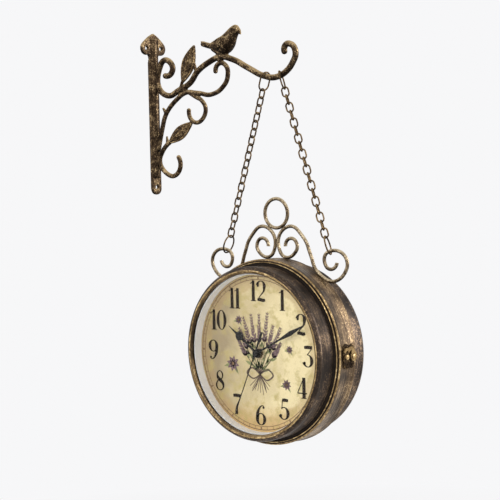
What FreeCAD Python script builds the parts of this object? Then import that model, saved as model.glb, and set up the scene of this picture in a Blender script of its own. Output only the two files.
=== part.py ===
"""Double-sided wall clock, hung by two chains from a cast scroll bracket.

The wall is the plane X = 0, X runs out along the arm, Z is up and the front dial looks along -Y.
The origin lies on the wall, midway between the two upper screw holes.
"""
import FreeCAD, Part
import Sketcher
import math
import os
import re

V = FreeCAD.Vector
Rotation = FreeCAD.Rotation
Placement = FreeCAD.Placement
across = V(1, 0, 0)
back = V(0, 1, 0)
up = V(0, 0, 1)

driving = {
    # wall bracket, cast in one piece
    "bar_rise": 18, "bar_drop": 177, "bar_width": 15, "plate_depth": 4, "ridge_depth": 8, "ridge_width": 12,
    "ear_spacing": 24, "ear_radius": 8, "screw_hole_radius": 2.6, "foot_hole_drop": 167,
    "arm_radius": 3.5, "branch_radius": 2.8, "twig_radius": 1.9, "leaf_edge": 1.0, "leaf_crown": 2.4, "leaf_rib": 0.7,
    "hang_reach": 190, "hook_drop": 47, "hook_bend": 35, "crest_reach": 111, "crest_drop": 18,
    # chains
    "chain_gap": 22, "rod_gap": 0.5, "top_link_length": 23, "top_link_width": 15.4,
    "link_length": 13, "link_width": 9.4, "link_wire_radius": 0.9, "link_play": 0.2, "link_count": 19,
    "ring_radius": 10.4, "ring_gap": 0.4,
    # wire hanger on top of the case
    "hanger_wire_radius": 2, "weld_gap": 0.1, "inner_seat_angle": 7.6, "outer_seat_angle": 37,
    "top_ring_radius": 16.5,
    # case halves
    "band_radius": 104, "case_wall": 1, "seam_offset": 6.5, "seam_gap": 0.3, "rear_inset": 18, "drum_length": 26.5,
    "bead_radius": 1.5, "drum_step": 7, "case_half_depth": 50, "bezel_width": 7, "lip_width": 7.5,
    "lip_thickness": 3.2, "stop_ring_wall": 0.8, "stop_ring_gap": 0.4, "stop_ring_reach": 4,
    # glass, white spacer and dial
    "glass_thickness": 2, "stack_play": 0.3, "dial_sink": 16, "dial_thickness": 1.2, "spacer_lip": 1,
    "spacer_wall": 1.2, "clip_width": 10, "clip_reach": 8, "clip_thickness": 0.9, "clip_count": 4,
    # quartz movements
    "movement_wall": 2, "movement_thickness": 16, "movement_corner": 4, "bushing_radius": 4, "bushing_reach": 3.6,
    "shaft_gap": 0.3, "washer_radius": 7.5, "washer_thickness": 0.6, "nut_flats": 10, "nut_thickness": 2.2,
    "battery_radius": 7.1, "battery_length": 50.2, "bay_floor": 2.8, "bay_gap": 0.5, "contact_thickness": 0.4,
    "contact_side": 9, "knob_radius": 8, "knob_height": 4.5, "knob_stem_radius": 2, "knob_stem_length": 3,
    "knob_side": 11, "knob_rise": 10,
    # hands
    "hand_thickness": 0.5, "hand_spacing": 2, "hour_lift": 4.4, "hour_length": 51, "hour_hub": 5,
    "minute_length": 80, "minute_hub": 4.2, "second_length": 74, "second_tail": 27, "second_hub": 3.2,
    "hour_tube_radius": 2.6, "minute_tube_radius": 1.6, "second_pin_radius": 0.6, "tube_wall": 0.65, "tube_lift": 0.2,
    # hinge and latch at the seam
    "leaf_thickness": 1, "leaf_margin": 1, "hinge_length": 24, "knuckle_radius": 2.2, "pin_radius": 1.1,
    "pin_gap": 0.15, "knuckle_gap": 0.3, "plate_thickness": 1.2, "plate_margin": 2.5, "plate_height": 27,
    "plate_gap": 0.02, "hook_thickness": 1.6,
    "hook_lift": 0.5, "peg_radius": 2, "hook_rise": 9, "hook_arm_width": 3.2,
}
derived = {
    "drum_radius": "band_radius - drum_step",
    "lip_radius": "drum_radius - lip_width",
    "spacer_radius": "lip_radius - spacer_lip",
    "shoulder_depth": "case_half_depth - drum_length",
    "dial_depth": "case_half_depth - dial_sink",
    "hour_depth": "dial_depth + hour_lift",
    "tube_depth": "dial_depth + tube_lift",
    "movement_side": "battery_length + 2 * (contact_thickness + bay_gap + movement_wall)",
    "battery_drop": "movement_side / 2 - bay_floor - bay_gap - battery_radius",
    "front_band": "shoulder_depth - 2 * bead_radius - seam_offset",
    "rear_band": "shoulder_depth - 2 * bead_radius - rear_inset + seam_offset",
    "peg_reach": "front_band * 0.6",
    "pivot_reach": "rear_band / 2 - seam_gap",
}
drawn_reach, drawn_drop, drawn_band = 190, 177, 104
hook_rest_lift = 20
hour_turn, minute_turn, second_turn = 305.3, 63.4, 204.0
chain_turns = {"left": (-10, 1, 10), "right": (24, 0, 24)}

doc = FreeCAD.newDocument("double_sided_wall_clock")
sheet = doc.addObject("Spreadsheet::Sheet", "Sizes")
for row, alias in enumerate([*driving, *derived], 1):
    sheet.set(f"A{row}", alias)
    sheet.set(f"B{row}", str(driving[alias]) if alias in driving else "=" + derived[alias])
    sheet.setAlias(f"B{row}", alias)
doc.recompute()
sizes = {**driving, **derived}
nodes = []


# Sizes and expressions

def bound(words):
    """Expression text with each size's name looked up in the sheet"""
    return re.sub(r"[a-z]\w+", lambda word: f"Sizes.{word[0]}" if word[0] in sizes else word[0], str(words))


def amount(words):
    """Number that an expression gives now"""
    return float(sheet.evalExpression(bound(words)))


def tie(thing, **ties):
    """Bind properties of an object to expressions"""
    for name, words in ties.items():
        thing.setExpression(name.replace("__", "."), bound(words))


def keep(thing, label, placement=None):
    """Make an object one of the clock's pieces"""
    thing.Label = label
    if placement is not None:
        thing.Placement = placement
    nodes.append(thing)
    return thing


# Sketched bodies

def plane(body, role):
    return next(feature for feature in body.Origin.OriginFeatures if feature.Role == role)


def bend(start, end, radius, side):
    """Arc from start to end that bulges to one side of its way, with its two end numbers"""
    chord = end - start
    left = V(-chord.y, chord.x, 0).normalize()
    rise = math.sqrt(max(radius ** 2 - (chord.Length / 2) ** 2, 0))
    sign = 1 if side == "left" else -1
    centre = (start + end) / 2 - left * (rise * sign)
    first, last = (end, start) if side == "left" else (start, end)
    angles = [math.atan2(spot.y - centre.y, spot.x - centre.x) for spot in (first, last)]
    if angles[1] < angles[0]:
        angles[1] += 2 * math.pi
    arc = Part.ArcOfCircle(Part.Circle(centre, up, radius), angles[0], angles[1])
    return arc, (2, 1) if side == "left" else (1, 2)


def sketch_on(body, role, start="0"):
    """Empty sketch on one of the body's own planes, moved along the plane's normal"""
    sketch = body.newObject("Sketcher::SketchObject", body.Name + "_outline")
    sketch.AttachmentSupport = [(plane(body, role), "")]
    sketch.MapMode = "FlatFace"
    tie(sketch, AttachmentOffset__Base__z=start)
    return sketch


def fix(sketch, kind, side, end, words):
    """Hold one end of a side at a distance from the sketch's origin"""
    if words == "0":
        axis = -2 if kind == "DistanceX" else -1
        sketch.addConstraint(Sketcher.Constraint("PointOnObject", side, end, axis))
        return
    number = sketch.addConstraint(Sketcher.Constraint(kind, -1, 1, side, end, amount(words)))
    sketch.setExpression(f"Constraints[{number}]", bound(words))


def outline(body, role, steps, start="0"):
    """Closed outline; a step is a corner, with a radius and a side where the way to it is an arc"""
    sketch = sketch_on(body, role, start)
    spots = [V(amount(step[0]), amount(step[1]), 0) for step in steps]
    ends = []
    for place, step in enumerate(steps):
        shape, pair = Part.LineSegment(spots[place - 1], spots[place]), (1, 2)
        if len(step) > 2:
            shape, pair = bend(spots[place - 1], spots[place], amount(step[2]), step[3])
        sketch.addGeometry(shape, False)
        ends.append(pair)
    for place, step in enumerate(steps):
        following = (place + 1) % len(steps)
        sketch.addConstraint(Sketcher.Constraint("Coincident", place, ends[place][1], following, ends[following][0]))
        fix(sketch, "DistanceX", place, ends[place][1], step[0])
        fix(sketch, "DistanceY", place, ends[place][1], step[1])
        if len(step) > 2:
            number = sketch.addConstraint(Sketcher.Constraint("Radius", place, amount(step[2])))
            sketch.setExpression(f"Constraints[{number}]", bound(step[2]))
    return sketch


def ring_outline(body, role, x, y, radius, start="0"):
    """Sketch of one circle"""
    sketch = sketch_on(body, role, start)
    circle = Part.Circle(V(amount(x), amount(y), 0), up, amount(radius))
    sketch.addGeometry(circle, False)
    fix(sketch, "DistanceX", 0, 3, x)
    fix(sketch, "DistanceY", 0, 3, y)
    number = sketch.addConstraint(Sketcher.Constraint("Radius", 0, amount(radius)))
    sketch.setExpression(f"Constraints[{number}]", bound(radius))
    return sketch


def new_body(label):
    return doc.addObject("PartDesign::Body", label)


def pad(body, sketch, length):
    """Thicken a sketch along its normal"""
    feature = body.newObject("PartDesign::Pad", body.Name + "_pad")
    feature.Profile = sketch
    tie(feature, Length=length)
    return feature


def pocket(body, sketch, length, outward=False):
    """Cut a sketch out of the body, against its normal or along it"""
    doc.recompute()
    whole = body.Shape.Volume
    feature = body.newObject("PartDesign::Pocket", body.Name + "_pocket")
    feature.Profile = sketch
    feature.Reversed = outward
    tie(feature, Length=length)
    doc.recompute()
    if body.Shape.Volume >= whole:
        raise RuntimeError(f"a pocket of {body.Name} cuts nothing")
    return feature


def turned(label, steps):
    """Body turned about its own Y axis from a profile of radius and Y"""
    body = new_body(label)
    feature = body.newObject("PartDesign::Revolution", label + "_turn")
    sketch = outline(body, "XY_Plane", steps)
    feature.Profile = sketch
    feature.ReferenceAxis = (sketch, ["V_Axis"])
    feature.Angle = 360
    return body


# Plain solids and how they are joined

def box(name, corner, lengths):
    solid = doc.addObject("Part::Box", name)
    tie(solid, Length=lengths[0], Width=lengths[1], Height=lengths[2],
        Placement__Base__x=corner[0], Placement__Base__y=corner[1], Placement__Base__z=corner[2])
    return solid


def rod(name, radius, height, base, axis):
    solid = doc.addObject("Part::Cylinder", name)
    solid.Placement.Rotation = Rotation(up, axis)
    tie(solid, Radius=radius, Height=height,
        Placement__Base__x=base[0], Placement__Base__y=base[1], Placement__Base__z=base[2])
    return solid


def joined(kind, name, first, *others):
    """Part::MultiFuse, Part::MultiCommon or Part::Cut of earlier objects"""
    result = doc.addObject(kind, name)
    if kind == "Part::Cut":
        result.Base, result.Tool = first, others[0]
    else:
        result.Shapes = [first, *others]
    return result


def shaped(name, shape):
    """Piece of a larger one whose shape is worked out here"""
    feature = doc.addObject("Part::Feature", name)
    feature.Shape = shape
    return feature


# Wires bent from tangent arcs

def tangents(points):
    """Direction at each point of the smooth line through all of them"""
    runs = [after - before for before, after in zip(points, points[1:])]
    middle = [(one / one.Length ** 2 + two / two.Length ** 2).normalize() for one, two in zip(runs, runs[1:])]

    def mirrored(run, direction):
        along = V(run).normalize()
        return along * (2 * along.dot(direction)) - direction

    return [mirrored(runs[0], middle[0]), *middle, mirrored(runs[-1], middle[-1])]


def half_bend(start, end, direction, at_start):
    """Arc from start to end that leaves, or arrives, along a direction"""
    chord = end - start
    along = V(chord).normalize()
    aside = direction - along * direction.dot(along)
    if aside.Length < 1e-6:
        return Part.LineSegment(start, end).toShape()
    angle = math.atan2(aside.Length, direction.dot(along))
    rise = chord.Length / 2 * math.tan(angle / 2)
    middle = (start + end) / 2 + aside.normalize() * (rise if at_start else -rise)
    return Part.Arc(start, middle, end).toShape()


def bent_wire(points):
    """Smooth wire through points in the plane Y = 0, two tangent arcs to each span"""
    spots = [V(x, 0, z) for x, z in points]
    ways = tangents(spots)
    edges = []
    for start, end, leave, arrive in zip(spots, spots[1:], ways, ways[1:]):
        chord = end - start
        both = leave + arrive
        turn = 2 * (1 - leave.dot(arrive))
        if turn < 1e-9:
            reach = chord.Length ** 2 / (4 * chord.dot(arrive))
        else:
            reach = (math.sqrt(chord.dot(both) ** 2 + turn * chord.Length ** 2) - chord.dot(both)) / turn
        knee = (start + end + (leave - arrive) * reach) / 2
        edges += [half_bend(start, knee, leave, True), half_bend(knee, end, arrive, False)]
    return Part.Wire(edges)


def swept(wire, radius):
    """Round bar along a wire"""
    first = wire.Edges[0]
    start = first.FirstParameter
    section = Part.Wire(Part.makeCircle(radius, first.valueAt(start), first.tangentAt(start)))
    return wire.makePipeShell([section], True, False)


def round_ended(points, radius):
    """Round bar through points, with a ball at each end"""
    balls = [Part.makeSphere(radius, V(x, 0, z)) for x, z in (points[0], points[-1])]
    return swept(bent_wire(points), radius).fuse(balls)


# Wall bracket

def grown(x, z):
    """Place on the bracket, drawn for its first reach and drop and grown with them"""
    return x * amount("hang_reach") / drawn_reach, z * amount("bar_drop") / drawn_drop


def hook_points(offsets):
    """Points given from the lowest point of the hook's rod"""
    return [(amount("hang_reach") + x, z - amount("hook_drop")) for x, z in offsets]


def arm_points():
    """Centre line of the main arm: scroll at the bar, rise to the crest, dip to the hook and its curl"""
    crest = (amount("crest_reach"), -amount("crest_drop"))
    touch = amount("ridge_depth") + amount("arm_radius") / 2
    curl = [grown(*spot) for spot in ((22, -34), (33, -30), (25, -15.5))]
    side = [(touch, grown(0, -31)[1]), (touch, grown(0, -46)[1])]
    climb = [grown(*spot) for spot in ((26, -58), (45, -52), (62, -45), (75, -32))]
    rise = [(crest[0] - 20, crest[1] - 5.5), crest, (crest[0] + 21, crest[1] - 5)]
    bend_radius = amount("hook_bend")
    lap = 14
    dip = bend_radius - math.sqrt(bend_radius ** 2 - lap ** 2)
    hook = hook_points([(-38, 14), (-lap, dip), (0, 0), (lap, dip), (28, 14), (33, 25), (28, 34.5), (19, 35),
                        (17, 28)])
    return curl + side + climb + rise + hook


def leaf(base, tip, width):
    """Crowned lens-shaped blade in the plane of the bracket, from its base to its tip"""
    start, end = V(base[0], 0, base[1]), V(tip[0], 0, tip[1])
    middle = (start + end) / 2
    aside = (end - start).cross(back).normalize() * (width / 2)
    rims = []
    for height, share in (("-leaf_crown", 0.45), ("-leaf_edge", 1), ("leaf_edge", 1), ("leaf_crown", 0.45)):
        lift = back * amount(height)
        spots = [middle + (spot - middle) * share + lift for spot in (start, middle + aside, end, middle - aside)]
        rims.append(Part.Wire([Part.Arc(*spots[:3]).toShape(), Part.Arc(spots[2], spots[3], spots[0]).toShape()]))
    return Part.makeLoft(rims, True, True)


def midrib(base, tip):
    """Round rib that swells through both faces of a leaf and thins out towards its tip"""
    start, end = V(base[0], 0, base[1]), V(tip[0], 0, tip[1])
    way = end - start
    thick, thin = amount("leaf_crown + leaf_rib"), amount("0.8 * leaf_edge")
    stalk = Part.makeCone(thick * 0.75, thick, way.Length * 0.34, start + way * 0.06, way)
    blade = Part.makeCone(thick, thin, way.Length * 0.53, start + way * 0.4, way)
    return stalk.fuse(blade)


def bird(perch):
    """Small perched bird: body, neck and head in one swelling form, with a beak, two folded wings and a tail"""
    rings = []
    for x, z, radius, lean in ((-7, 12.5, 2.4, -12), (0, 11.8, 5, 0), (8, 12.6, 8.2, 14), (16, 15.4, 9.2, 30),
                               (22, 20, 8.3, 46), (26, 25, 6.5, 54), (29, 29.4, 6.1, 56), (31.6, 33.2, 5, 56),
                               (33.4, 36, 1.8, 56)):
        ring = Part.Wire(Part.makeCircle(radius))
        ring.Placement = Placement(perch + V(x, 0, z), Rotation(back, 90 - lean))
        rings.append(ring)
    body = Part.makeLoft(rings, True, False)
    beak = Part.makeCone(2.5, 0.6, 9, perch + V(32.5, 0, 30.5), V(0.8, 0, -0.6))
    wings = []
    for side in (-1, 1):
        wing = leaf((perch.x - 10, perch.z + 13.5), (perch.x + 23, perch.z + 22), 12)
        wing.translate(back * (7.2 * side))
        wings.append(wing)
    near = Part.makePolygon([perch + V(*spot) for spot in
                             ((-1, -2, 9), (-1, 2, 9), (-1, 2, 14), (-1, -2, 14), (-1, -2, 9))])
    far = Part.makePolygon([perch + V(*spot) for spot in
                            ((-26, -3.6, 19), (-26, 3.6, 19), (-28, 3.6, 22.5), (-28, -3.6, 22.5), (-26, -3.6, 19))])
    tail = Part.makeLoft([near, far], True, True)
    return body.fuse([beak, tail, *wings])


def bracket_bar():
    """Back plate with its pointed top, two ears and round foot, and a rounded ridge down its middle"""
    half, ear = "bar_width / 2", "ear_spacing / 2"
    body = new_body("bracket_bar")
    lobe, spear, waist = ("ear_radius", "right"), ("ear_radius * 7.75", "right"), ("ear_radius", "left")
    left_side = [(f"-({ear}) - 0.7071 * ear_radius", "0.7071 * ear_radius", *spear),
                 (f"-({ear}) - ear_radius", "0", *lobe),
                 (f"0.4 * ear_radius - {ear}", "-0.9165 * ear_radius", *lobe),
                 (f"-({half})", "-2 * ear_radius", *waist),
                 (f"-({half})", "bar_width / 2 - bar_drop")]
    right_side = [(half, "bar_width / 2 - bar_drop", "bar_width * 0.505", "right"),
                  (half, "-2 * ear_radius"),
                  (f"{ear} - 0.4 * ear_radius", "-0.9165 * ear_radius", *waist),
                  (f"{ear} + ear_radius", "0", *lobe),
                  (f"{ear} + 0.7071 * ear_radius", "0.7071 * ear_radius", *lobe),
                  ("0", "bar_rise", *spear)]
    pad(body, outline(body, "YZ_Plane", left_side + right_side), "plate_depth")
    ridge = sketch_profile_ridge(body)
    run = pad(body, ridge, "bar_rise + foot_hole_drop - 19")
    run.Reversed = True
    for spot in (("-ear_spacing / 2", "0"), ("ear_spacing / 2", "0"), ("0", "-foot_hole_drop")):
        pocket(body, ring_outline(body, "YZ_Plane", *spot, "screw_hole_radius"), "2 * ridge_depth", True)
    return body


def sketch_profile_ridge(body):
    """Rounded section of the ridge, drawn level with the bar's top"""
    swell = "(ridge_depth - plate_depth)"
    radius = f"((ridge_width / 2) ^ 2 + {swell} ^ 2) / (2 * {swell})"
    return outline(body, "XY_Plane", [("plate_depth / 2", "-ridge_width / 2"), ("plate_depth", "-ridge_width / 2"),
                                      ("plate_depth", "ridge_width / 2", radius, "right"),
                                      ("plate_depth / 2", "ridge_width / 2")], "bar_rise - 7")


def wall_bracket():
    crest = V(amount("crest_reach"), 0, -amount("crest_drop"))
    twig, branch = amount("twig_radius"), amount("branch_radius")
    touch = amount("ridge_depth")
    stem = [(13, -102), (22, -79), (37, -65), (55, -56), (74, -57.5), (95, -60.5), (111, -55), (121.5, -42),
            (120, -29.5), (111, -25), (104.5, -28.5), (103, -34)]
    curl = [(60, -56), (70, -61.5), (80.5, -67), (86, -76.5), (82, -87), (70, -92), (61.5, -87), (59, -77)]
    lower = [(19, -150), (32.5, -154), (42.5, -145), (40.5, -132)]
    foot = [(touch, grown(0, -121)[1])]
    hollow = [grown(26, -114), grown(15, -123), (touch + 1.2, grown(0, -135)[1])]
    stem, curl, lower, tie_up, stalk = [[grown(*spot) for spot in run] for run in (
        stem, curl, lower, [(69, -22), (71, -29), (72.5, -36)], [(46, -51), (48, -46), (52, -38)])]
    bars = {"arm": (arm_points(), amount("arm_radius")), "stem": (foot + stem, branch), "curl": (curl, branch - 0.2),
            "lower_scroll": (hollow + lower, branch), "leaf_tie": (tie_up, twig), "leaf_stalk": (stalk, twig)}
    pieces = [shaped("bracket_" + name, round_ended(*words)) for name, words in bars.items()]
    weld, upper_bud, lower_bud = [V(x, 0, z) for x, z in (grown(53.5, -52.3), grown(22, -79), grown(23, -115))]
    bud_length = grown(9, 0)[0]
    pieces += [shaped("bracket_weld_low", Part.makeSphere(branch + 0.8, weld)),
               shaped("bracket_weld_crest", Part.makeSphere(branch + 0.3, crest + V(0, 0, -amount("arm_radius")))),
               shaped("bracket_upper_leaf", leaf(grown(49, -45), grown(70.5, -0.5), grown(18, 0)[0])),
               shaped("bracket_upper_midrib", midrib(grown(49, -45), grown(70.5, -0.5))),
               shaped("bracket_lower_leaf", leaf(grown(24, -115), grown(65, -91), grown(15, 0)[0])),
               shaped("bracket_lower_midrib", midrib(grown(24, -115), grown(65, -91))),
               shaped("bracket_upper_bud", Part.makeCone(twig + 0.7, twig - 0.7, bud_length, upper_bud, V(-0.6, 0, 0.75))),
               shaped("bracket_lower_bud", Part.makeCone(twig + 0.5, twig - 0.8, bud_length, lower_bud, V(-0.15, 0, 1))),
               shaped("bracket_bird", bird(crest + V(0, 0, amount("arm_radius") - 5.5)))]
    keep(joined("Part::MultiFuse", "wall_bracket", bracket_bar(), *pieces), "wall_bracket")


# Hanger wire and chains

def seat_point(angle_words):
    """Centre of the hanger wire where it is welded to the band, from the clock's centre"""
    reach = amount("band_radius + hanger_wire_radius + weld_gap")
    angle = math.radians(amount(angle_words))
    return reach * math.sin(angle), reach * math.cos(angle)


def scroll_points():
    """Centre line of the right half of the hanger, from the clock's centre"""
    inner, outer = seat_point("inner_seat_angle"), seat_point("outer_seat_angle")
    clear = amount("hanger_wire_radius + weld_gap")

    share = amount("band_radius") / drawn_band

    def from_inner(x, z):
        return inner[0] + x * share, inner[1] + z * share

    def from_outer(x, z):
        return outer[0] + x * share, outer[1] + z * share

    curl = [from_inner(-1.5, 12.5), from_inner(8.5, 21.5), from_inner(15.5, 13.5), from_inner(10, 3.5), inner]
    arch = [(clear, from_inner(0, 16)[1]), from_inner(4.2, 35), from_inner(26, 21), from_inner(34.5, 3),
            from_outer(-9.5, 9)]
    volute = [outer, from_outer(13, -5), from_outer(30, 3), from_outer(35, 16), from_outer(21, 29), from_outer(3.5, 18),
              from_outer(11, 8.5), from_outer(21, 15.5)]
    return curl + arch + volute


def hang_geometry():
    """Places along one chain, measured from the rod, and where the clock's centre comes to hang"""
    wire, play = amount("link_wire_radius"), amount("link_play")
    rod_top = amount("arm_radius + rod_gap") + wire
    link_pitch = amount("link_length") - 4 * wire - play
    top_end = amount("top_link_length") - 2 * wire - rod_top
    first_top = top_end - 2 * wire - play
    last_end = first_top + amount("link_count") * link_pitch + 2 * wire + play
    ring_top = last_end - 2 * wire - play
    seat = ring_top + 2 * amount("ring_radius") - wire - amount("ring_gap + hanger_wire_radius")
    half_gap, bend_radius = amount("chain_gap") / 2, amount("hook_bend")
    rod_rise = bend_radius - math.sqrt(bend_radius ** 2 - half_gap ** 2)
    volute = bent_wire(scroll_points()[10:]).discretize(600)
    lean = math.radians(18)
    for _ in range(8):
        high = max(volute, key=lambda spot: spot.z * math.cos(lean) - spot.x * math.sin(lean))
        lean = math.asin((high.x - half_gap) / seat)
    clock_z = rod_rise - amount("hook_drop") - seat * math.cos(lean) - high.z
    return {"lean": lean, "rod_top": -rod_top, "top_end": top_end, "first_top": first_top, "pitch": link_pitch,
            "last_end": last_end, "ring_top": ring_top, "seat": seat, "rod_z": rod_rise - amount("hook_drop"),
            "seat_x": high.x, "seat_z": high.z, "clock_z": clock_z}


def oval_link(length, width, radius):
    """Closed oval link of round wire in the XZ plane, hanging from the centre of its upper bend"""
    bend_radius = width / 2 - radius
    reach = length - 2 * radius - 2 * bend_radius
    top, low = V(0, 0, -bend_radius), V(0, 0, -bend_radius - reach)
    side = V(bend_radius, 0, 0)
    edges = [Part.Arc(top - side, top + V(0, 0, bend_radius), top + side).toShape(),
             Part.LineSegment(top + side, low + side).toShape(),
             Part.Arc(low + side, low - V(0, 0, bend_radius), low - side).toShape(),
             Part.LineSegment(low - side, top - side).toShape()]
    section = Part.Wire(Part.makeCircle(radius, top - side, up))
    return Part.Wire(edges).makePipeShell([section], True, False)


def chain_frame(side, geometry):
    """Placement whose Z runs up one chain from the rod, with X square to the bracket's plane"""
    sign = -1 if side == "left" else 1
    base = V(amount("hang_reach + chain_gap / 2 * %d" % sign), 0, geometry["rod_z"])
    lean = Rotation(back, -sign * math.degrees(geometry["lean"]))
    return Placement(base, lean.multiply(Rotation(up, 90)))


def along_chain(frame, distance, turn):
    """Placement of a link hung at a distance down the chain and turned about it"""
    return frame.multiply(Placement(V(0, 0, -distance), Rotation(up, turn)))


def chain(side, geometry):
    frame = chain_frame(side, geometry)
    turn, twist, ring_turn = chain_turns[side]
    top_link = oval_link(amount("top_link_length"), amount("top_link_width"), amount("link_wire_radius"))
    top = doc.addObject("Part::Feature", side + "_top_link")
    top.Shape = top_link
    keep(top, side + "_top_link", along_chain(frame, geometry["rod_top"], turn))
    link = oval_link(amount("link_length"), amount("link_width"), amount("link_wire_radius"))
    links = []
    for number in range(int(amount("link_count"))):
        copy = link.copy()
        copy.Placement = along_chain(frame, geometry["first_top"] + number * geometry["pitch"],
                                     turn + (number + 1) * (90 + twist))
        links.append(copy)
    keep(shaped(side + "_chain_links", Part.makeCompound(links)), side + "_chain_links")
    ring = doc.addObject("Part::Torus", side + "_ring")
    tie(ring, Radius1="ring_radius", Radius2="link_wire_radius")
    place = along_chain(frame, geometry["ring_top"] + amount("ring_radius"), ring_turn)
    keep(ring, side + "_ring", place.multiply(Placement(V(0, 0, 0), Rotation(across, 90))))


def hanger(centre):
    """Two bent wire halves welded on the band and to each other's sides, with a ring on their arches"""
    right = swept(bent_wire(scroll_points()), amount("hanger_wire_radius"))
    left = right.mirror(V(0, 0, 0), across)
    keep(shaped("hanger_right_scroll", right), "hanger_right_scroll", Placement(centre, Rotation()))
    keep(shaped("hanger_left_scroll", left), "hanger_left_scroll", Placement(centre, Rotation()))
    wire = amount("hanger_wire_radius")
    ring_reach = amount("top_ring_radius") + 2 * wire + amount("weld_gap")
    arch = bent_wire(scroll_points()[4:9]).discretize(300)
    height = max(spot.z + math.sqrt(max(ring_reach ** 2 - spot.x ** 2, 0)) for spot in arch if spot.x < ring_reach)
    ring = doc.addObject("Part::Torus", "hanger_ring")
    tie(ring, Radius1="top_ring_radius", Radius2="hanger_wire_radius")
    keep(ring, "hanger_ring", Placement(centre + V(0, 0, height), Rotation(across, 90)))


# Case halves and what each holds; every piece is drawn facing -Y and turned round for the rear

def case_half(label, seam):
    """Stepped half of the case: band, two beads on the shoulder, narrow drum and rounded bezel"""
    rim = "case_half_depth - lip_thickness"
    return turned(label, [
        ("band_radius", f"-({seam})"),
        ("band_radius", "-(shoulder_depth - 2 * bead_radius)"),
        ("band_radius - bead_radius", "-shoulder_depth", "1.2 * bead_radius", "left"),
        ("band_radius - 1.6 * bead_radius", "-shoulder_depth"),
        ("band_radius - 3.2 * bead_radius", "-(shoulder_depth + 1.2 * bead_radius)", "1.1 * bead_radius", "left"),
        ("drum_radius", "-(shoulder_depth + 2 * bead_radius)"),
        ("drum_radius", "-(case_half_depth - bezel_width)"),
        ("drum_radius - bezel_width * 0.36", "-(case_half_depth - 0.4)", "bezel_width * 0.72", "left"),
        ("lip_radius", "-(case_half_depth - 1.8)", "bezel_width * 0.6", "left"),
        ("lip_radius", f"-({rim})"),
        ("drum_radius - case_wall", f"-({rim})"),
        ("drum_radius - case_wall", "-(shoulder_depth + 1.1 * bead_radius)"),
        ("band_radius - case_wall", "-(shoulder_depth - 0.9 * bead_radius)"),
        ("band_radius - case_wall", f"-({seam})")])


def disc(label, radius, hole, near, far):
    """Flat disc between two depths, with a hole at its middle unless the hole is nought"""
    return turned(label, [(hole, f"-({near})"), (radius, f"-({near})"), (radius, f"-({far})"), (hole, f"-({far})")])


def spacer(label):
    """White ring of angle section that holds glass and dial apart"""
    outer, glass_back = "drum_radius - case_wall - stack_play", "case_half_depth - lip_thickness - glass_thickness"
    return turned(label, [
        ("spacer_radius", "-dial_depth"), (outer, "-dial_depth"), (outer, "-(dial_depth + spacer_wall)"),
        ("spacer_radius + spacer_wall", "-(dial_depth + spacer_wall)"),
        ("spacer_radius + spacer_wall", f"-({glass_back})"), ("spacer_radius", f"-({glass_back})")])


def dial_clips(label):
    """Bent tabs on the drum's wall that press the dial forward"""
    wall = amount("drum_radius - case_wall - stack_play")
    reach, thick, width = amount("clip_reach"), amount("clip_thickness"), amount("clip_width")
    back_face = -amount("dial_depth - dial_thickness")
    flat = math.sqrt(wall ** 2 - width ** 2 / 4)
    tab = Part.makeBox(reach, thick, width, V(flat - reach, back_face, -width / 2))
    foot = Part.makeBox(thick, reach, width, V(flat - thick, back_face, -width / 2))
    clip = tab.fuse(foot).removeSplitter()
    count = int(amount("clip_count"))
    turns = [Placement(V(0, 0, 0), Rotation(back, 45 + 360 * number / count)) for number in range(count)]
    return shaped(label, Part.makeCompound([clip.transformed(turn.toMatrix()) for turn in turns]))


def movement(label):
    """Closed plastic housing with an open battery bay, a threaded bushing and the knob's socket"""
    body = new_body(label)
    half, round_off = "movement_side / 2", "movement_side / 2 - movement_corner"
    corner = ("movement_corner", "right")
    rear = "dial_depth - dial_thickness - movement_thickness"
    steps = [(round_off, f"-({half})"), (half, f"-({round_off})", *corner), (half, round_off),
             (round_off, half, *corner), (f"-({round_off})", half), (f"-({half})", round_off, *corner),
             (f"-({half})", f"-({round_off})"), (f"-({round_off})", f"-({half})", *corner)]
    pad(body, outline(body, "XZ_Plane", steps, rear), "movement_thickness")
    front = "dial_depth + bushing_reach"
    pad(body, ring_outline(body, "XZ_Plane", "0", "0", "bushing_radius", "dial_depth - dial_thickness"),
        "dial_thickness + bushing_reach")
    pocket(body, ring_outline(body, "XZ_Plane", "0", "0", "hour_tube_radius + shaft_gap", front),
           "bushing_reach + dial_thickness + 4")
    side, tall = "battery_length / 2 + contact_thickness + bay_gap", "battery_radius + bay_gap"
    bay = [(f"-({side})", f"-battery_drop - ({tall})"), (side, f"-battery_drop - ({tall})"),
           (side, f"-battery_drop + {tall}"), (f"-({side})", f"-battery_drop + {tall}")]
    pocket(body, outline(body, "XZ_Plane", bay, rear), "2 * battery_radius + bay_gap", True)
    pocket(body, ring_outline(body, "XZ_Plane", "-knob_side", "knob_rise", "knob_stem_radius + shaft_gap", rear),
           "knob_stem_length + shaft_gap", True)
    return body


def shaft_nut(label):
    """Six-sided nut that clamps the dial to the movement"""
    body = new_body(label)
    corner = amount("nut_flats") / math.sqrt(3)
    angles = [math.radians(60 * number + 30) for number in range(6)]
    steps = [(f"nut_flats * {math.sin(angle) / math.sqrt(3):.6f}", f"nut_flats * {math.cos(angle) / math.sqrt(3):.6f}")
             for angle in angles]
    pad(body, outline(body, "XZ_Plane", steps, "dial_depth + washer_thickness"), "nut_thickness")
    pocket(body, ring_outline(body, "XZ_Plane", "0", "0", "bushing_radius + 0.1",
                              "dial_depth + washer_thickness + nut_thickness"), "nut_thickness + 1")
    assert corner < amount("washer_radius")
    return body


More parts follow.
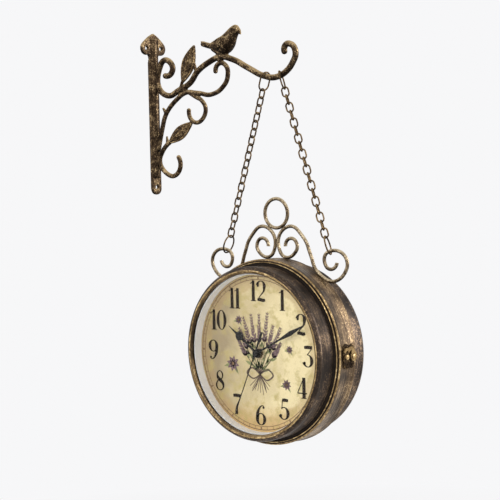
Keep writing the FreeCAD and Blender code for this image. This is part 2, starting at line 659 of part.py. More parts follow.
def battery(label):
    """Round cell with its raised end, lying across the bay"""
    length, radius = amount("battery_length"), amount("battery_radius")
    nub = 1.6
    depth = amount("dial_depth - dial_thickness - movement_thickness + battery_radius")
    middle = V(0, -depth, -amount("battery_drop"))
    cell = Part.makeCylinder(radius, length - nub, middle - across * (length / 2), across)
    cap = Part.makeCylinder(2.7, nub, middle + across * (length / 2 - nub), across)
    return shaped(label, cell.fuse(cap).removeSplitter())


def battery_contacts(label):
    """Two spring plates at the ends of the bay"""
    side, thick = amount("contact_side"), amount("contact_thickness")
    depth = amount("dial_depth - dial_thickness - movement_thickness + battery_radius")
    reach = amount("battery_length / 2 + bay_gap")
    low = -amount("battery_drop") - side / 2
    plates = [Part.makeBox(thick, side, side, V(x, -depth - side / 2, low)) for x in (reach, -reach - thick)]
    return shaped(label, Part.makeCompound(plates))


def set_knob(label):
    """Setting knob on the back of the movement, with its stem in the socket"""
    rear = "dial_depth - dial_thickness - movement_thickness"
    body = new_body(label)
    at = ("-knob_side", "knob_rise")
    pad(body, ring_outline(body, "XZ_Plane", *at, "knob_radius", f"{rear} - shaft_gap - knob_height"), "knob_height")
    pad(body, ring_outline(body, "XZ_Plane", *at, "knob_stem_radius", f"{rear} - shaft_gap"), "knob_stem_length")
    return body


def hub_corners(neck, radius):
    """Arcs that carry a hand's outline round its hub, from the left of the blade to the right"""
    rise = f"sqrt(({radius}) ^ 2 - ({neck}) ^ 2)"
    return [(f"-({neck})", rise), (f"-({radius})", "0", radius, "right"), ("0", f"-({radius})", radius, "right"),
            (radius, "0", radius, "right"), (neck, rise, radius, "right")]


def tube_hand(label, steps, hub, place, radius, bore):
    """Flat hand on a tube or pin that reaches back into the movement's shafts"""
    body = new_body(label)
    pad(body, outline(body, "XZ_Plane", steps, place), "hand_thickness")
    pad(body, ring_outline(body, "XZ_Plane", "0", "0", radius, "tube_depth"), f"{place} - tube_depth")
    if bore:
        mouth = ring_outline(body, "XZ_Plane", "0", "0", bore, f"{place} + hand_thickness")
        pocket(body, mouth, f"{place} - tube_depth + 2")
    return body


def hour_hand(label):
    """Spade hand"""
    neck, throat = "hour_hub * 0.24", "hour_hub * 0.28"
    belly = ("hour_length * 0.103", "right")
    right = [(neck, "hour_length * 0.52"), (throat, "hour_length * 0.72", *belly), ("0", "hour_length")]
    left = [(f"-{throat}", "hour_length * 0.72"), (f"-{neck}", "hour_length * 0.52", *belly)]
    steps = hub_corners("hour_hub * 0.28", "hour_hub") + right + left
    return tube_hand(label, steps, "hour_hub", "hour_depth", "hour_tube_radius", "hour_tube_radius - tube_wall")


def minute_hand(label):
    """Lance hand"""
    neck, belly = "minute_hub * 0.21", "minute_hub * 0.64"
    blade = [(neck, "minute_length * 0.46"), (belly, "minute_length * 0.7"), ("0", "minute_length"),
             (f"-{belly}", "minute_length * 0.7"), (f"-{neck}", "minute_length * 0.46")]
    return tube_hand(label, hub_corners("minute_hub * 0.28", "minute_hub") + blade, "minute_hub", "hour_depth + hand_spacing",
                     "minute_tube_radius", "minute_tube_radius - tube_wall")


def second_hand(label):
    """Needle with a broad tail"""
    hub = "second_hub"
    neck, tip, root, end = [f"second_hub * {share}" for share in (0.2, 0.125, 0.3, 0.47)]
    rise, tail_rise = "second_hub * 0.9798", "second_hub * 0.9539"
    steps = [(f"-{neck}", rise), (f"-{hub}", "0", hub, "right"), (f"-{root}", f"-{tail_rise}", hub, "right"),
             (f"-{end}", "-second_tail"), (end, "-second_tail"), (root, f"-{tail_rise}"), (hub, "0", hub, "right"),
             (neck, rise, hub, "right"), (tip, "second_length"), (f"-{tip}", "second_length")]
    return tube_hand(label, steps, hub, "hour_depth + 2 * hand_spacing", "second_pin_radius", None)


def face_pieces(face, centre):
    """Everything that one half of the case carries"""
    about = Placement(centre, Rotation())
    if face == "rear":
        about = Placement(centre - back * amount("rear_inset"), Rotation(up, 180))
    glass_front = "case_half_depth - lip_thickness"
    outer = "drum_radius - case_wall - stack_play"
    seam = "seam_offset + seam_gap / 2" if face == "front" else "rear_inset + seam_gap / 2 - seam_offset"
    keep(case_half(face + "_case", seam), face + "_case", about)
    keep(disc(face + "_glass", outer, "0", f"{glass_front} - glass_thickness", glass_front), face + "_glass", about)
    keep(spacer(face + "_spacer_ring"), face + "_spacer_ring", about)
    keep(disc(face + "_dial", outer, "bushing_radius + shaft_gap", "dial_depth - dial_thickness", "dial_depth"),
         face + "_dial", about)
    keep(disc(face + "_shaft_washer", "washer_radius", "bushing_radius + 0.1", "dial_depth",
              "dial_depth + washer_thickness"), face + "_shaft_washer", about)
    for make in (dial_clips, movement, shaft_nut, battery, battery_contacts, set_knob):
        label = f"{face}_{make.__name__}"
        keep(make(label), label, about)
    for make, turn in ((hour_hand, hour_turn), (minute_hand, minute_turn), (second_hand, second_turn)):
        label = f"{face}_{make.__name__}"
        keep(make(label), label, about.multiply(Placement(V(0, 0, 0), Rotation(back, turn))))


def stop_ring(centre):
    """Strip inside the rear half that the front half closes over"""
    outer = "band_radius - case_wall - stop_ring_gap"
    body = turned("door_stop_ring", [
        (f"{outer} - stop_ring_wall", "-(seam_offset + stop_ring_reach)"), (outer, "-(seam_offset + stop_ring_reach)"),
        (outer, "rear_band - seam_offset"), (f"{outer} - stop_ring_wall", "rear_band - seam_offset")])
    keep(body, "door_stop_ring", Placement(centre, Rotation()))


# Hinge and latch

def sleeve(name, thickness):
    """Tube that lies on the band, from which curved plates are cut"""
    span = "case_half_depth"
    outer = rod(name + "_outside", f"band_radius + weld_gap + {thickness}", span, ("0", f"-({span}) / 2", "0"), back)
    inner = rod(name + "_inside", "band_radius + weld_gap", span, ("0", f"-({span}) / 2", "0"), back)
    return joined("Part::Cut", name, outer, inner)


def knuckle(name, low, height, radius="knuckle_radius"):
    """Round barrel, or its bore, about the hinge's axis"""
    return rod(name, radius, height, ("-(band_radius + weld_gap + knuckle_radius)", "-seam_offset", low), up)


def hinge(centre):
    """Butt hinge at nine o'clock: a leaf on each half and a pin"""
    at = Placement(centre, Rotation())
    third = "hinge_length / 3"
    near = "-(band_radius + 3 * leaf_thickness)"
    clear = "knuckle_radius + knuckle_gap"
    front_leaf = box("hinge_front_blank", (near, "-(seam_offset + front_band - leaf_margin)", "-hinge_length / 2"),
                     ("6 * leaf_thickness", f"front_band - leaf_margin - ({clear})", "hinge_length"))
    front_tongue = box("hinge_front_tongue", (near, f"-(seam_offset + {clear})", f"-({third} - knuckle_gap) / 2"),
                       ("6 * leaf_thickness", f"({clear}) - pin_radius", f"{third} - knuckle_gap"))
    rear_leaf = box("hinge_rear_blank", (near, f"{clear} - seam_offset", "-hinge_length / 2"),
                    ("6 * leaf_thickness", f"rear_band - leaf_margin - ({clear})", "hinge_length"))
    rear_tongues = [box(f"hinge_rear_tongue_{number}", (near, "pin_radius - seam_offset", low),
                        ("6 * leaf_thickness", f"({clear}) - pin_radius", f"{third} - knuckle_gap"))
                    for number, low in enumerate(("-hinge_length / 2", "hinge_length / 6 + knuckle_gap"))]
    front_plan = joined("Part::MultiFuse", "hinge_front_plan", front_leaf, front_tongue)
    rear_plan = joined("Part::MultiFuse", "hinge_rear_plan", rear_leaf, *rear_tongues)
    front_barrel = knuckle("hinge_front_barrel", f"-({third} - knuckle_gap) / 2", f"{third} - knuckle_gap")
    rear_barrels = [knuckle(f"hinge_rear_barrel_{number}", low, f"{third} - knuckle_gap")
                    for number, low in enumerate(("-hinge_length / 2", "hinge_length / 6 + knuckle_gap"))]
    bores = [knuckle(f"hinge_bore_{number}", "-hinge_length", "2 * hinge_length", "pin_radius + pin_gap")
             for number in (0, 1)]
    sleeves = [sleeve(f"hinge_sleeve_{number}", "leaf_thickness") for number in (0, 1)]
    skins = [joined("Part::MultiCommon", f"hinge_skin_{number}", sleeves[number], plan)
             for number, plan in enumerate((front_plan, rear_plan))]
    front_solid = joined("Part::MultiFuse", "hinge_front_solid", skins[0], front_barrel)
    rear_solid = joined("Part::MultiFuse", "hinge_rear_solid", skins[1], *rear_barrels)
    keep(joined("Part::Cut", "hinge_front_leaf", front_solid, bores[0]), "hinge_front_leaf", at)
    keep(joined("Part::Cut", "hinge_rear_leaf", rear_solid, bores[1]), "hinge_rear_leaf", at)
    shank = knuckle("hinge_pin_shank", "-hinge_length / 2 - 1", "hinge_length + 2", "pin_radius")
    heads = [knuckle(f"hinge_pin_head_{number}", low, "1.2", "pin_radius * 1.6")
             for number, low in enumerate(("-hinge_length / 2 - knuckle_gap - 1.2", "hinge_length / 2 + knuckle_gap"))]
    keep(joined("Part::MultiFuse", "hinge_pin", shank, *heads), "hinge_pin", at)


def scalloped(name, inner, outer):
    """Plate outline of five round lobes between two Y places, cut from the sleeve at three o'clock"""
    body = new_body(name)
    half, third = "plate_height / 2", "plate_height / 6"
    lobe = ("plate_height * 0.24", "right" if amount(outer) > amount(inner) else "left")
    steps = [(inner, f"-({half}) + 3"), (f"({inner}) * 0.35 + ({outer}) * 0.65", f"-({half})", *lobe),
             (outer, f"-({third})", "plate_height * 0.26", lobe[1]), (outer, third, *lobe),
             (f"({inner}) * 0.35 + ({outer}) * 0.65", half, "plate_height * 0.26", lobe[1]),
             (inner, f"{half} - 3", *lobe)]
    sketch = outline(body, "YZ_Plane", steps, "band_radius - 4")
    pad(body, sketch, "10")
    return body


def latch(centre):
    """Swing hook at three o'clock: base plate on the rear half, keeper on the front half"""
    at = Placement(centre, Rotation())
    face = "band_radius + weld_gap + plate_thickness"
    plans = [scalloped("latch_keeper_plan", "-seam_offset - seam_gap", "plate_margin - front_band - seam_offset"),
             scalloped("latch_base_plan", "seam_gap - seam_offset", "rear_band - plate_margin - seam_offset")]
    sleeves = [sleeve(f"latch_sleeve_{number}", "plate_thickness") for number in (0, 1)]
    plates = [joined("Part::MultiCommon", f"latch_plate_{number}", sleeves[number], plan)
              for number, plan in enumerate(plans)]
    for label, plate in zip(("latch_keeper", "latch_base"), plates):
        keep(plate, label, at)
    for label, reach, head in (("latch_peg", "-seam_offset - peg_reach", "peg_radius * 1.45"),
                               ("latch_pivot_rivet", "pivot_reach - seam_offset", "peg_radius * 1.6")):
        keep(stud(label, face, reach, head), label, at)
    keep(latch_hook(face), "latch_hook", raised_hook(centre))


def stud(label, face, reach, head):
    """Round stud set on a plate, with a domed head beyond the hook"""
    tall = "hook_lift + hook_thickness + 0.4"
    foot = (f"{face} + plate_gap", reach, "0")
    shank = rod(label + "_shank", "peg_radius", tall, foot, across)
    rim = rod(label + "_rim", head, "peg_radius * 0.3", (f"{foot[0]} + {tall}", reach, "0"), across)
    dome = doc.addObject("Part::Cone", label + "_dome")
    dome.Placement.Rotation = Rotation(up, across)
    tie(dome, Radius1=head, Radius2="peg_radius * 0.7", Height="peg_radius * 0.4", Placement__Base__y=reach,
        Placement__Base__x=f"{foot[0]} + {tall} + peg_radius * 0.3")
    return joined("Part::MultiFuse", label, shank, rim, dome)


def latch_hook(face):
    """Arched hook with an eye on the pivot and a bill that drops over the peg, drawn closed about its pivot"""
    body = new_body("latch_hook")
    span = "peg_reach + pivot_reach"
    eye, gap = "peg_radius + hook_arm_width", "peg_radius + 0.4"
    lip = f"-({span}) - ({gap}) - hook_arm_width"
    steps = [("0", f"-({eye})"), (eye, "0", eye, "right"), ("0", eye, eye, "right"),
             (f"-({span}) / 2", "hook_rise", span, "right"), (f"-({span})", f"{gap} + hook_arm_width", span, "right"),
             (lip, "0", f"({gap} + hook_arm_width) * 1.02", "right"), (f"{lip} + 0.6", "-peg_radius * 0.6"),
             (f"-({span}) - ({gap})", "-peg_radius * 0.6"), (f"-({span}) - ({gap})", "0"),
             (f"-({span})", gap, f"({gap}) * 1.02", "left"), (f"-({span}) + ({gap})", "0", f"({gap}) * 1.02", "left"),
             (f"-({span}) / 2", "hook_rise - hook_arm_width", span, "left"), (f"-({eye})", "0", span, "left")]
    steps[0] = (*steps[0], eye, "right")
    pad(body, outline(body, "YZ_Plane", steps, f"{face} + hook_lift"), "hook_thickness")
    pocket(body, ring_outline(body, "YZ_Plane", "0", "0", "peg_radius + 0.3", f"{face} + hook_lift + hook_thickness"),
           "2 * hook_thickness")
    return body


def raised_hook(centre):
    """Rest place of the hook, lifted clear of the peg"""
    pivot = centre + V(0, amount("pivot_reach - seam_offset"), 0)
    return Placement(pivot, Rotation(across, -hook_rest_lift))


# The whole clock

def build():
    geometry = hang_geometry()
    centre = V(amount("hang_reach"), 0, geometry["clock_z"])
    for side in ("left", "right"):
        chain(side, geometry)
    hanger(centre)
    for face in ("front", "rear"):
        face_pieces(face, centre)
    stop_ring(centre)
    hinge(centre)
    latch(centre)
    wall_bracket()
    for name, number in geometry.items():
        print(f"{name} {number:.4f}")


def check_and_write():
    """Write each piece once every object has been made without a fault"""
    doc.recompute()
    faulty = [thing.Label for thing in doc.Objects if {"Invalid", "Error"} & set(thing.State)]
    if faulty:
        raise RuntimeError("failed objects: " + ", ".join(faulty))
    for node in nodes:
        if node.Shape.isNull() or not node.Shape.isValid() or not node.Shape.Solids:
            raise RuntimeError("unsound shape: " + node.Label)
    os.makedirs("parts", exist_ok=True)
    for node in nodes:
        node.Shape.exportStep(f"parts/{node.Label}.step")
    print(len(nodes), "pieces written")


build()
check_and_write()
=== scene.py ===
import bpy
import bmesh
from math import asin, atan2, cos, pi, radians, sin, sqrt
import random
from mathutils import Matrix, Vector


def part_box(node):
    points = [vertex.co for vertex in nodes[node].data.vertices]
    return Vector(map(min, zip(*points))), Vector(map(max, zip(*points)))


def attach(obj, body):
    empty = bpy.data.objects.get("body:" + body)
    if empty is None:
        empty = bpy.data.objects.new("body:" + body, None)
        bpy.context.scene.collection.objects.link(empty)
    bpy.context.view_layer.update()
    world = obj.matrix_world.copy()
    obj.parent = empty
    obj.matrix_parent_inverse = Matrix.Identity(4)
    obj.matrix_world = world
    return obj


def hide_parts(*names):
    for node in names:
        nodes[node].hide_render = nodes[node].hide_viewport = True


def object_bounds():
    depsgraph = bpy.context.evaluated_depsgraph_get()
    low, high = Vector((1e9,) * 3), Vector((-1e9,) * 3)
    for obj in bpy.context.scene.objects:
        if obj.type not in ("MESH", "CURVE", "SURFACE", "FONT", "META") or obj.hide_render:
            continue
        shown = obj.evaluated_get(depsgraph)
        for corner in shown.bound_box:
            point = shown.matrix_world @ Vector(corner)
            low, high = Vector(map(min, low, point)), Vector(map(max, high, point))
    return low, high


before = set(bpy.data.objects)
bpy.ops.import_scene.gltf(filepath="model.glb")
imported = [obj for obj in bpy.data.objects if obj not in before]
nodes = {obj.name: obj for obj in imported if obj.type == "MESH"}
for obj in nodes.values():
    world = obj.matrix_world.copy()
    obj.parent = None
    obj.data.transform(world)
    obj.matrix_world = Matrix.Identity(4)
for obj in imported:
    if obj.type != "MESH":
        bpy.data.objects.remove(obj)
cadBox = [list(corner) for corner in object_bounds()]
scene = bpy.context.scene
mm = 0.001
dialLow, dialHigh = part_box("front_dial")
clockCentre = Vector(((dialLow.x + dialHigh.x) / 2, 0, (dialLow.z + dialHigh.z) / 2))
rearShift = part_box("rear_dial")[1].y + dialLow.y  # the rear half sits in towards the front by this
faces = {"front": "front_door", "rear": "clock"}  # each side of the clock and the body that carries it
print("frame loaded, clock centre", [round(value, 4) for value in clockCentre])


# materials, all from nodes on Object coordinates

def shader(name, roughness, metallic=0.0, shine=0.5):
    material = bpy.data.materials.new(name)
    material.use_nodes = True
    tree = material.node_tree
    surface = tree.nodes["Principled BSDF"]
    surface.inputs["Roughness"].default_value = roughness
    surface.inputs["Metallic"].default_value = metallic
    surface.inputs["Specular IOR Level"].default_value = shine
    return material, tree, surface


def add(tree, kind, **values):
    # a value sets the node's own property or, where there is none of that name, its input
    node = tree.nodes.new(kind)
    for key, value in values.items():
        if hasattr(node, key):
            setattr(node, key, value)
        else:
            node.inputs[key].default_value = value
    return node


def feed(value, socket):
    # an output is linked; a number or a colour is typed in
    if hasattr(value, "is_output"):
        socket.id_data.links.new(value, socket)
    else:
        socket.default_value = (*value, 1) if isinstance(value, tuple) else value


def place(tree, location=(0, 0, 0)):
    mapping = add(tree, "ShaderNodeMapping", Location=location)
    feed(add(tree, "ShaderNodeTexCoord").outputs["Object"], mapping.inputs["Vector"])
    return mapping.outputs["Vector"]


def noise(vector, scale, detail, roughness):
    node = add(vector.id_data, "ShaderNodeTexNoise", Scale=scale, Detail=detail, Roughness=roughness)
    feed(vector, node.inputs["Vector"])
    return node.outputs["Fac"]


def ramp(value, stops):
    node = add(value.id_data, "ShaderNodeValToRGB")
    while len(node.color_ramp.elements) < len(stops):
        node.color_ramp.elements.new(0.5)
    for element, (position, colour) in zip(node.color_ramp.elements, stops):
        element.position = position
        element.color = (*colour, 1)
    feed(value, node.inputs["Fac"])
    return node.outputs["Color"]


def mask(value, start, full, strength=1.0):
    # black up to the start, then rising to this strength
    return ramp(value, [(start, (0, 0, 0)), (full, (strength,) * 3)])


def clouded(vector, scale, detail, roughness, first, second):
    # soft clouds of two tones
    return ramp(noise(vector, scale, detail, roughness), [(0.3, first), (0.7, second)])


def mix(factor, first, second, kind="MIX"):
    node = add(first.id_data, "ShaderNodeMix", data_type="RGBA", blend_type=kind)
    for value, socket in ((factor, node.inputs[0]), (first, node.inputs[6]), (second, node.inputs[7])):
        feed(value, socket)
    return node.outputs[2]


def combine(first, second, kind="ADD"):
    node = add(first.id_data, "ShaderNodeMath", operation=kind)
    feed(first, node.inputs[0])
    feed(second, node.inputs[1])
    return node.outputs[0]


def scaled(value, factor):
    return combine(value, factor, "MULTIPLY")


def bump(surface, height, strength, distance):
    node = add(surface.id_data, "ShaderNodeBump", Strength=strength, Distance=distance)
    feed(height, node.inputs["Height"])
    feed(node.outputs["Normal"], surface.inputs["Normal"])


def fromAxis(vector):
    # the parts of a vector, and its distance from the clock's axis
    tree = vector.id_data
    parts = add(tree, "ShaderNodeSeparateXYZ")
    feed(vector, parts.inputs[0])
    flat = add(tree, "ShaderNodeCombineXYZ")
    for axis in ("X", "Z"):
        feed(parts.outputs[axis], flat.inputs[axis])
    radius = add(tree, "ShaderNodeVectorMath", operation="LENGTH")
    feed(flat.outputs[0], radius.inputs[0])
    return parts.outputs, radius.outputs["Value"]


def aroundClock(tree, along, across):
    # noise space that runs in streaks round the clock's axis on every face of the case
    near = place(tree, tuple(-clockCentre))
    parts, radius = fromAxis(near)
    depth = combine(parts["Y"], radius)
    streak = add(tree, "ShaderNodeCombineXYZ")
    for axis, value, scale in (("X", parts["X"], along), ("Y", depth, across), ("Z", parts["Z"], along)):
        feed(scaled(value, scale), streak.inputs[axis])
    return streak.outputs[0], near


def roughened(surface, value, roughness, low, high, more, less):
    # rougher than the given roughness where the value is low, smoother where it is high
    tones = [(low, (roughness + more,) * 3), (high, (roughness - less,) * 3)]
    feed(ramp(value, tones), surface.inputs["Roughness"])


brushSet = {
    "metallic": 0.6, "shine": 0.3, "along": 28, "across": 620,
    # each noise as scale, detail and roughness
    "streaks": (1.0, 5, 0.65), "patches": (34, 4, 0.6), "grains": (520, 3, 0.7),
    "darkAt": 0.30, "warmAt": 0.55, "worn": [(0.36, (0.30, 0.29, 0.28)), (0.60, (1.0, 1.0, 1.0))],
    # flecks: how much the patches count, then where they start and where they are full
    "patchShare": 0.55, "flecksAt": (0.84, 0.94),
    # roughness: start and end of its change, then how much more and how much less
    "matt": (0.25, 0.75, 0.18, 0.1), "relief": (0.18, 0.0004),
}


def streakedBronze(name, dark, warm, gold, goldAt, roughness, flecks):
    # brushed round the case, darker in patches, with flecks of gold where the patches are pale
    material, tree, surface = shader(name, roughness, brushSet["metallic"], brushSet["shine"])
    streaks, near = aroundClock(tree, brushSet["along"], brushSet["across"])
    fine = noise(streaks, *brushSet["streaks"])
    patches = noise(near, *brushSet["patches"])
    tone = ramp(fine, [(brushSet["darkAt"], dark), (brushSet["warmAt"], warm), (goldAt, gold)])
    colour = mix(1.0, tone, ramp(patches, brushSet["worn"]), "MULTIPLY")
    grains = combine(noise(near, *brushSet["grains"]), scaled(patches, brushSet["patchShare"]))
    colour = mix(mask(grains, *brushSet["flecksAt"], flecks), colour, gold)
    feed(colour, surface.inputs["Base Color"])
    roughened(surface, fine, roughness, *brushSet["matt"])
    bump(surface, fine, *brushSet["relief"])
    return material


wipeAndPaintedLightSet = {
    # how much gold, worn on the edges and as a painted highlight on top, goes on each finish that has it
    "strength": {"castBracket": 0.9, "hangerBronze": 0.85, "chainBronze": 0.5},
    # upward and its share set the painted light: a painted highlight on faces turned up and a little back, a
    # painted shade on faces turned down; the surface and edge entries set the worn gold on the edges
    "upward": (0.0, 0.10, 0.90), "paintedLightShare": 0.38, "evenSurface": 0.5, "edgeShare": 1.2,
    # the dark tone for the patina in the hollows and the painted shade underneath, where the gold is full, and
    # how much darker that dark tone is
    "hollowsAndPaintedShade": [(0.28, (0.9, 0.9, 0.9)), (0.48, (0, 0, 0))], "goldAt": (0.57, 0.76), "hollowAndShadeDarker": 0.5,
}


def wiped(name, colour, grain, dark, gold):
    # gold worn on the edges and a painted highlight on what faces up; dark patina in the hollows and a painted
    # shade on what faces down
    tree = colour.id_data
    # painted light from above: how far each face turns up
    upward = add(tree, "ShaderNodeVectorMath", operation="DOT_PRODUCT")
    upward.inputs[1].default_value = wipeAndPaintedLightSet["upward"]
    feed(add(tree, "ShaderNodeTexCoord").outputs["Normal"], upward.inputs[0])
    pointed = add(tree, "ShaderNodeNewGeometry").outputs["Pointiness"]
    edges = combine(pointed, wipeAndPaintedLightSet["evenSurface"], "SUBTRACT")
    reach = combine(scaled(upward.outputs["Value"], wipeAndPaintedLightSet["paintedLightShare"]), scaled(edges, wipeAndPaintedLightSet["edgeShare"]))
    reach = combine(reach, grain)
    colour = mix(mask(reach, *wipeAndPaintedLightSet["goldAt"], wipeAndPaintedLightSet["strength"][name]), colour, gold)
    hollowAndShadeTone = tuple(value * wipeAndPaintedLightSet["hollowAndShadeDarker"] for value in dark)
    return mix(ramp(reach, wipeAndPaintedLightSet["hollowsAndPaintedShade"]), colour, hollowAndShadeTone)


washSet = {
    "metallic": 0.6, "shine": 0.2, "edgeTint": (0.25, 0.18, 0.11, 1),  # keeps the turned-away edges dark
    # patches and finer specks: detail and roughness of the noise, and its share
    "patches": (5, 0.62), "patchShare": 0.45, "finer": 6, "specks": (3, 0.7), "speckShare": 0.55,
    "darkAt": 0.38, "warmAt": 0.53, "matt": (0.3, 0.7, 0.15, 0.12), "relief": 0.0003,
}


def castBronze(name, dark, warm, gold, scale, goldAt, roughness, grain):
    # dark casting with a gold wash in patches and specks
    material, tree, surface = shader(name, roughness, washSet["metallic"], washSet["shine"])
    surface.inputs["Specular Tint"].default_value = washSet["edgeTint"]
    near = place(tree)
    patches = noise(near, scale, *washSet["patches"])
    specks = noise(near, scale * washSet["finer"], *washSet["specks"])
    both = combine(scaled(patches, washSet["patchShare"]), scaled(specks, washSet["speckShare"]))
    colour = ramp(both, [(washSet["darkAt"], dark), (washSet["warmAt"], warm), (goldAt, gold)])
    # worn gold edges and patina, with a painted highlight on top and a painted shade underneath
    if name in wipeAndPaintedLightSet["strength"]:
        colour = wiped(name, colour, both, dark, gold)
    feed(colour, surface.inputs["Base Color"])
    roughened(surface, both, roughness, *washSet["matt"])
    bump(surface, both, grain, washSet["relief"])
    return material


speckSet = {"clouds": (4, 0.6), "finer": 12, "grain": (2, 0.5), "relief": 0.0002}


def speckledPaint(name, colour, second, scale, roughness, grain, metallic=0.0, shine=0.5):
    material, tree, surface = shader(name, roughness, metallic, shine)
    near = place(tree)
    feed(clouded(near, scale, *speckSet["clouds"], colour, second), surface.inputs["Base Color"])
    bump(surface, noise(near, scale * speckSet["finer"], *speckSet["grain"]), grain, speckSet["relief"])
    return material


paperSet = {
    "roughness": 0.72, "relief": (0.08, 0.0001),
    # tones of the paper, from its painted shade on the left to its pale right side
    "tones": [(0.34, (0.34, 0.265, 0.15)), (0.52, (0.56, 0.455, 0.25)), (0.78, (0.80, 0.68, 0.39))],
    "board": ((0.20, 0.13, 0.075), (0.29, 0.20, 0.12)), "boardAt": (0.0, 0.3),
    # each noise as scale, detail and roughness
    "clouds": (26, 5, 0.62), "blots": (60, 4, 0.7), "dots": (150, 4, 0.75),
    "fibres": (900, 3, 0.6), "boardClouds": (240, 4, 0.7),
    # how fast the painted shade lifts towards the right of the dial, its tone in the middle and the share of
    # the clouds in it
    "paintedShadePace": 4.2, "middle": 0.35, "cloudShare": 0.55,
    # how fast rim and foot darken, and the share of the noise in them
    "rimReach": (11.0, 0.35), "footReach": (-9.0, 0.5),
    # each darkening: where it starts and where it is full, its strength and its colour
    "rim": (0.96, 1.0, 0.45, (0.44, 0.29, 0.125)),
    "foot": (0.72, 1.0, 0.6, (0.66, 0.40, 0.14)),
    "stain": (0.49, 0.66, 0.8, (0.46, 0.37, 0.13)),
    "spots": (0.60, 0.74, 0.4, (0.33, 0.21, 0.085)),
}


def parchment(name, turn):
    # yellowed paper with a painted shade that darkens it towards the left of its reader, browner at the rim and
    # the foot; brown board behind
    material, tree, surface = shader(name, paperSet["roughness"])
    near = place(tree, tuple(-clockCentre))
    turned = add(tree, "ShaderNodeMapping", Rotation=(0, 0, turn))
    feed(near, turned.inputs["Vector"])
    paper = turned.outputs[0]
    parts, radius = fromAxis(paper)
    cloud, blot, dots = (noise(paper, *paperSet[key]) for key in ("clouds", "blots", "dots"))
    # painted shade: the paper darkens towards its reader's left
    paintedSideShade = combine(scaled(parts["X"], paperSet["paintedShadePace"]), paperSet["middle"])
    colour = ramp(combine(paintedSideShade, scaled(cloud, paperSet["cloudShare"])), paperSet["tones"])
    (rimPace, rimClouds), (footPace, footBlots) = paperSet["rimReach"], paperSet["footReach"]
    darkenings = {"rim": combine(scaled(radius, rimPace), scaled(cloud, rimClouds)),
            "foot": combine(scaled(parts["Z"], footPace), scaled(blot, footBlots)),
            "stain": blot,
            "spots": dots}
    for darkening, value in darkenings.items():
        start, full, strength, tone = paperSet[darkening]
        colour = mix(mask(value, start, full, strength), colour, tone)
    form = add(tree, "ShaderNodeSeparateXYZ")
    feed(add(tree, "ShaderNodeTexCoord").outputs["Normal"], form.inputs[0])
    behind = mask(scaled(form.outputs["Y"], cos(turn)), *paperSet["boardAt"])
    board = clouded(near, *paperSet["boardClouds"], *paperSet["board"])
    feed(mix(behind, colour, board), surface.inputs["Base Color"])
    bump(surface, noise(near, *paperSet["fibres"]), *paperSet["relief"])
    return material


glassSet = {"roughness": 0.04, "shine": 0.05, "alpha": 0.02, "clouds": (9, 2, 0.5),
            "tints": ((0.30, 0.29, 0.27), (0.36, 0.35, 0.33))}


def clearGlass(name):
    material, tree, surface = shader(name, glassSet["roughness"], shine=glassSet["shine"])
    surface.inputs["Alpha"].default_value = glassSet["alpha"]
    feed(clouded(place(tree), *glassSet["clouds"], *glassSet["tints"]), surface.inputs["Base Color"])
    return material


streakSet = {  # dark, warm and gold tone, where the gold is full, roughness, strength of the flecks
    "bandBronze": ((0.034, 0.022, 0.014), (0.17, 0.108, 0.058), (0.48, 0.34, 0.18), 0.70, 0.42, 0.75),
    "drumBronze": ((0.012, 0.008, 0.007), (0.058, 0.038, 0.026), (0.30, 0.20, 0.115), 0.76, 0.44, 0.65),
    "bezelBronze": ((0.045, 0.028, 0.015), (0.17, 0.110, 0.052), (0.50, 0.36, 0.175), 0.70, 0.36, 0.5),
}
castSet = {  # dark, warm and gold tone, scale of the patches, where the gold is full, roughness, grain
    "rimGold": ((0.055, 0.035, 0.017), (0.20, 0.132, 0.060), (0.62, 0.46, 0.23), 55, 0.66, 0.36, 0.3),
    "hookGold": ((0.060, 0.038, 0.018), (0.22, 0.145, 0.065), (0.55, 0.40, 0.19), 260, 0.62, 0.36, 0.4),
    "goldBead": ((0.075, 0.048, 0.022), (0.34, 0.23, 0.105), (0.66, 0.49, 0.25), 42, 0.60, 0.36, 0.25),
    "castBracket": ((0.011, 0.007, 0.005), (0.048, 0.030, 0.017), (0.50, 0.36, 0.19), 130, 0.72, 0.38, 0.5),
    "veinGold": ((0.035, 0.022, 0.011), (0.15, 0.098, 0.048), (0.54, 0.39, 0.20), 120, 0.62, 0.38, 0.4),
    "hangerBronze": ((0.042, 0.029, 0.018), (0.19, 0.14, 0.085), (0.62, 0.51, 0.34), 130, 0.68, 0.32, 0.35),
    "chainBronze": ((0.020, 0.013, 0.008), (0.085, 0.054, 0.027), (0.38, 0.26, 0.13), 220, 0.68, 0.40, 0.3),
    "latchBronze": ((0.007, 0.005, 0.004), (0.026, 0.016, 0.009), (0.36, 0.24, 0.11), 260, 0.72, 0.40, 0.6),
}
